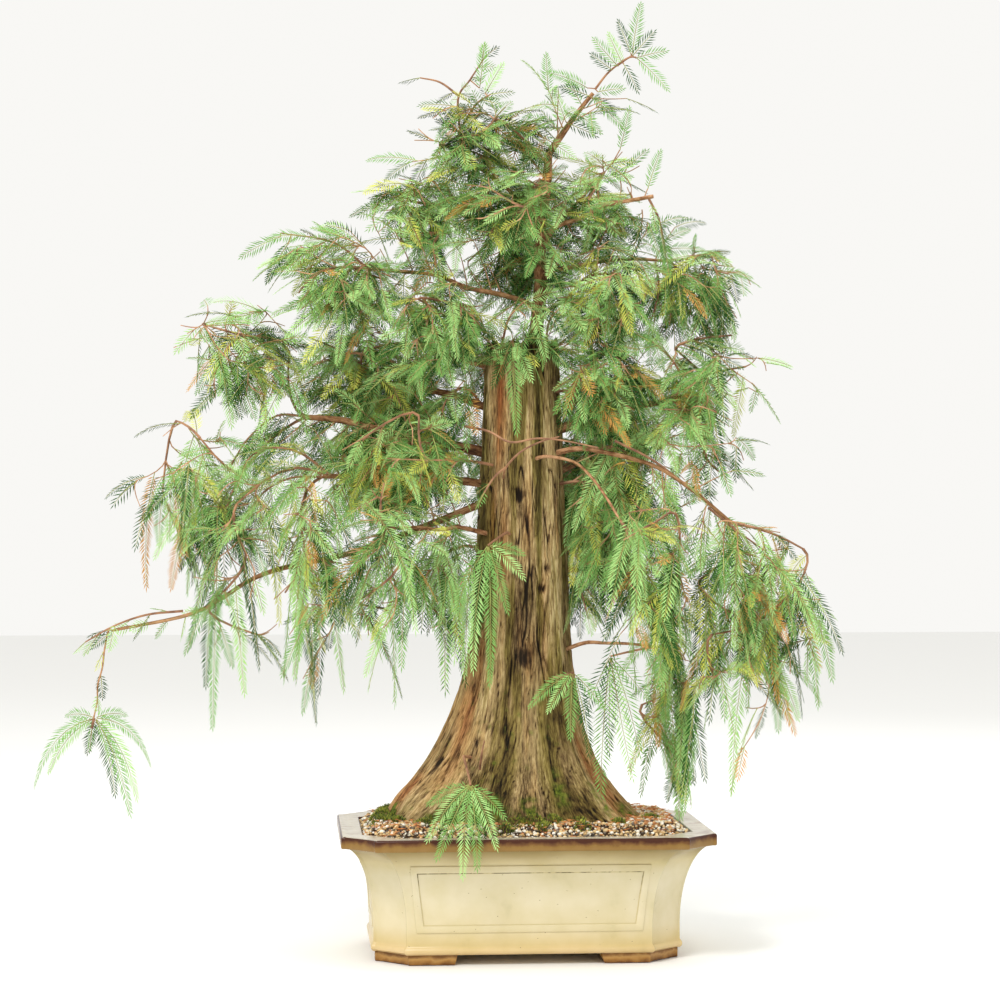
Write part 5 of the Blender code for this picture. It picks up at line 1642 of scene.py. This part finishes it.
def growRimShoots():
    # Short shoots that break from the cut's rim and hang a little over it.
    made = 0.0
    seeded = random.Random("rim shoots")
    for turn in range(rimShoots["count"]):
        angle = rimShoots["from"] + rimShoots["step"] * turn + seeded.uniform(-4, 4)
        root = trunkPoint(trunkShape["chop"] - seeded.uniform(*rimShoots["below"]), angle, -0.003)
        out = Vector((math.cos(math.radians(angle)), math.sin(math.radians(angle)), 0.0))
        end = root + out * seeded.uniform(*rimShoots["out"])
        end += upward * seeded.uniform(*rimShoots["rise"])
        path = twigPath(root, end, (out + upward * 0.6).normalized(), 0.4)
        layTwig(path, 0.45, 0.3, False)
        made += dressTwig("rim", path, (end, (0.050, 0.045, 0.040), 0.7), seeded, habits["short"])
    return made


def youngNeedles(name, colour):
    # Soft new needles with a thin waxy skin: a clear green, a little glossy along the keel; the colour is
    # one of the tints, where fresh is painted light and deep painted shade.
    material, tree, shader = startMaterial(name, {"Roughness": 0.60, "Specular IOR Level": 0.12})
    shader.inputs["Base Color"].default_value = linear(colour)
    return material


def twigBark(name, pale, dark, grain):
    # Thin smooth bark of last year's growth, peeling a little: orange-brown with darker bands.
    return cloudMaterial(name, 0.7, grain, 3.0, [(0.35, dark), (0.62, pale)])


def layOut(kind, material, replaced):
    # Joins what was gathered for one kind into as few pieces as the limit allows.
    groups = [[]]
    size = 0
    for points, faces in zip(*gathered[kind]):
        if size + len(faces) > pieceLimit:
            groups.append([])
            size = 0
        groups[-1].append((points, faces))
        size += len(faces)
    for number, group in enumerate(groups, start=1):
        bases = np.cumsum([0] + [len(points) for points, faces in group])
        points = np.concatenate([points for points, faces in group])
        faces = np.concatenate([faces + base for (own, faces), base in zip(group, bases)])
        piece = pieceFrom(f"{kind}_{number}", points, faces)
        piece.data.transform(planting)
        settle(piece, material, replaced)
        print(piece.name, len(faces), "triangles")


def makeFoliage():
    total = 0.0
    for name, (source, *form) in masses.items():
        total += growMass(name, source, form)
    for name, begin in leafyLimbs.items():
        total += growShoots("bough_" + name, smoothPath(limbPaths[name], 4), begin)
    low = trunkShape["chop"] + 0.02
    tall = leaderShape["top"] - low
    total += growShoots("leader", [leaderPoint(low + tall * step / 40) for step in range(41)], 0.02)
    total += growStrays() + growRimShoots() + growLoneSprays()
    print("sprays", len(gathered["ribs"][0]), "metres in all", round(total, 1))
    replaced = sorted("foliage_" + name for name in (*masses, *laidSingly))
    for name, colour in tints.items():
        layOut(name, youngNeedles("cypress_" + name, colour), replaced)
    layOut("ribs", twigBark("cypress_green_rib", "A8B060", "8B7A44", 60.0), ())
    layOut("twigs_young", twigBark("cypress_young_twig", "C0926A", "8F6242", 80.0), ())
    layOut("twigs_old", twigBark("cypress_old_twig", "AC7E5A", "744E38", 60.0), ())


makeFoliage()


# Soil: fired clay, pumice and bark grains over dark earth, with moss and fallen needles.

soilShape = {
    "edge": 0.131, "top": 0.1455, "inset": 0.0243,
    "flats": (0.158, 0.090, 0.222), "slopes": (0.018, 0.026, 0.036),  # long, deep, corner
    "grains": 5600, "least": 0.0010, "most": 0.0031, "grainReach": (0.176, 0.116),
    "litter": 1500, "litterReach": (0.165, 0.105), "mossBlades": 8500,
}
grainKinds = {
    # share of the grains, pale and dark tone
    "grains_tan": (0.47, "EACD98", "B4905C"), "grains_pumice": (0.29, "FFFAEC", "DCD2BA"),
    "grains_clay": (0.10, "D89C62", "A06A42"), "grains_lava": (0.14, "8A7F70", "4E463C"),
}
# Moss: place, radius and height of the cushion.
mossCushions = [metres(row) for row in (
    (-128, -28, 20, 6), (-118, -46, 14, 5), (-95, -62, 13, 5), (-70, -78, 16, 5), (-40, -82, 14, 6),
    (-12, -78, 16, 8), (10, -76, 15, 8), (32, -72, 12, 6), (62, -66, 10, 5), (95, -40, 12, 5),
    (112, -12, 12, 5), (-150, -10, 16, 5), (-145, 30, 15, 5), (-80, 72, 18, 6), (10, 80, 20, 6),
    (80, 58, 16, 6), (-150, -52, 12, 4), (-104, -86, 10, 4), (-18, -98, 9, 3), (22, -92, 8, 3),
    (64, -88, 9, 3), (104, -70, 9, 3), (140, -30, 9, 3), (-134, -64, 10, 4))]


def soilHeight(x, y):
    # The surface at a place in the pot's own frame, and its share of the way down to the wall.
    long, deep, corner = soilShape["flats"]
    slopeLong, slopeDeep, slopeCorner = soilShape["slopes"]
    spread = max((abs(x) - long) / slopeLong, (abs(y) - deep) / slopeDeep,
                 (abs(x) + abs(y) - corner) / slopeCorner, 0.0)
    drop = soilShape["top"] - soilShape["edge"]
    return soilShape["top"] - drop * min(1.0, spread), spread


def trunkReach(place):
    # How far a place on the soil is outside the bark, in the planting's frame.
    centre = trunkCentre(trunkShape["foot"])
    angle = math.degrees(math.atan2(place.y / 0.62, place.x - centre))
    edge = trunkPoint(trunkShape["foot"], angle)
    return Vector((place.x - centre, place.y)).length - Vector((edge.x - centre, edge.y)).length


def makeSoilBed():
    under = soilShape["inset"]
    long, deep, corner = soilShape["flats"]
    rings = [potSection(*ring) for ring in ((0.0452, 0.0212), (0.0413, 0.067), (under, 0.1241),
                                            (under, soilShape["edge"]))]
    for step in range(1, 6):
        share = step / 5
        ring = []
        for edge, flat in zip(potSection(under, 0.0), potSection(0.0, 0.0)):
            x = (flat.x - potCentre.x) / potShape["halfLength"] * long
            y = (flat.y - potCentre.y) / potShape["halfDepth"] * deep
            place = edge.lerp(Vector((potCentre.x + x, potCentre.y + y, 0.0)), share)
            place.z = soilShape["edge"] + (soilShape["top"] - soilShape["edge"]) * share - 0.0008
            ring.append(place)
        rings.append(ring)
    bed = raiseProfile(rings, "soil_bed")
    earth = cloudMaterial("damp_dark_earth", 0.95, 300.0, 4.0, [(0.35, "2A1C12"), (0.65, "5C4228")])
    settle(bed, earth, ["soil"])


def grainForm(kind):
    # One rough grain, from a ball of few faces.
    deselectAll()
    bpy.ops.mesh.primitive_ico_sphere_add(subdivisions=1, radius=1.0)
    grain = bpy.context.object
    rough = random.Random(f"grain {kind}")
    points = np.array([tuple(vert.co) for vert in grain.data.vertices])
    scale = np.array([[rough.uniform(0.72, 1.15)] for vert in grain.data.vertices])
    faces = np.array([tuple(face.vertices) for face in grain.data.polygons])
    bpy.data.objects.remove(grain)
    return points * scale * np.array((1.0, rough.uniform(0.75, 0.95), 0.7)), faces


def makeGrains():
    # Four grains are modelled, then scattered with their own size, turn and tone.
    forms = [grainForm(kind) for kind in range(4)]
    seeded = random.Random("soil grains")
    inward = planting.inverted()
    names = list(grainKinds)
    shares = [row[0] for row in grainKinds.values()]
    placed = 0
    while placed < soilShape["grains"]:
        x, y = [seeded.uniform(-reach, reach) for reach in soilShape["grainReach"]]
        height, spread = soilHeight(x, y)
        if spread > 0.97:
            continue
        spot = potCentre + Vector((x, y, height))
        near = inward @ spot
        if trunkReach(near) < -0.002:
            continue
        if any((near.x - a) ** 2 + (near.y - b) ** 2 < (0.8 * c) ** 2 for a, b, c, d in mossCushions):
            continue
        size = soilShape["least"] + (soilShape["most"] - soilShape["least"]) * seeded.random() ** 1.6
        spot.z += seeded.uniform(-0.4, 0.7) * size
        turn = Matrix.Rotation(seeded.uniform(0, 6.28), 3, "Z") @ Matrix.Rotation(
            seeded.uniform(-0.6, 0.6), 3, "X")
        points, faces = forms[seeded.randrange(len(forms))]
        kind = seeded.choices(names, shares)[0]
        gather(kind, (points * size) @ np.array(turn).T + np.array(inward @ spot), faces)
        placed += 1
    for name, (share, pale, dark) in grainKinds.items():
        clay = cloudMaterial("soil_" + name, 0.9, 210.0, 2.0, [(0.38, dark), (0.60, pale)])
        layOut(name, clay, ())


def addBlade(kind, root, ahead, length, width, seeded):
    # A needle-shaped blade standing or lying at a place.
    across = ahead.orthogonal().normalized()
    across.rotate(Matrix.Rotation(seeded.uniform(0, 6.28), 3, ahead))
    above = ahead.cross(across)
    form = needlePoints.copy()
    form[:, 1:] *= sprayForm["needleLength"] / sprayForm["needleWidth"] * width / length
    frame3 = np.array((tuple(ahead), tuple(across), tuple(above)))
    gather(kind, (form * length) @ frame3 + np.array(root), needleFaces)


def makeMossAndLitter():
    seeded = random.Random("moss")
    inward = planting.inverted()
    areas = [radius * radius for x, y, radius, tall in mossCushions]
    for blade in range(soilShape["mossBlades"]):
        x, y, radius, tall = seeded.choices(mossCushions, areas)[0]
        share = math.sqrt(seeded.random())
        turn = seeded.uniform(0, 2 * math.pi)
        edge = 1.0 + 0.35 * noise.noise(Vector((math.cos(turn), math.sin(turn), x * 90)))
        away = radius * share * edge
        spot = Vector((x + away * math.cos(turn), y + away * math.sin(turn), 0.0))
        inPot = planting @ spot - potCentre
        height, spread = soilHeight(inPot.x, inPot.y)
        if spread > 0.9:
            continue
        spot.z = height + 1.5 * tall * (1 - share ** 2) - 0.001
        lean = Vector((math.cos(turn) * share, math.sin(turn) * share, 1.1)).normalized()
        kind = "moss_bright" if seeded.random() < 0.55 else "moss_dark"
        addBlade(kind, spot, lean, seeded.uniform(0.0026, 0.0048), 0.0015, seeded)
    for blade in range(soilShape["litter"]):
        x, y = [seeded.uniform(-reach, reach) for reach in soilShape["litterReach"]]
        height, spread = soilHeight(x, y)
        spot = inward @ (potCentre + Vector((x, y, height + seeded.uniform(0.0018, 0.0040))))
        if trunkReach(spot) < 0.002 or spread > 0.9:
            continue
        turn = seeded.uniform(0, 6.28)
        ahead = Vector((math.cos(turn), math.sin(turn), seeded.uniform(-0.08, 0.2))).normalized()
        addBlade("fallen_needles", spot, ahead, seeded.uniform(0.005, 0.012), 0.0014, seeded)
    for kind, pale, dark in (("moss_bright", "A8AC3E", "707F28"), ("moss_dark", "626E28", "38481A"),
                             ("fallen_needles", "DC9050", "A8602E")):
        layOut(kind, twigBark("living_" + kind, pale, dark, 120.0), ())


makeSoilBed()
makeGrains()
makeMossAndLitter()

print("finished")
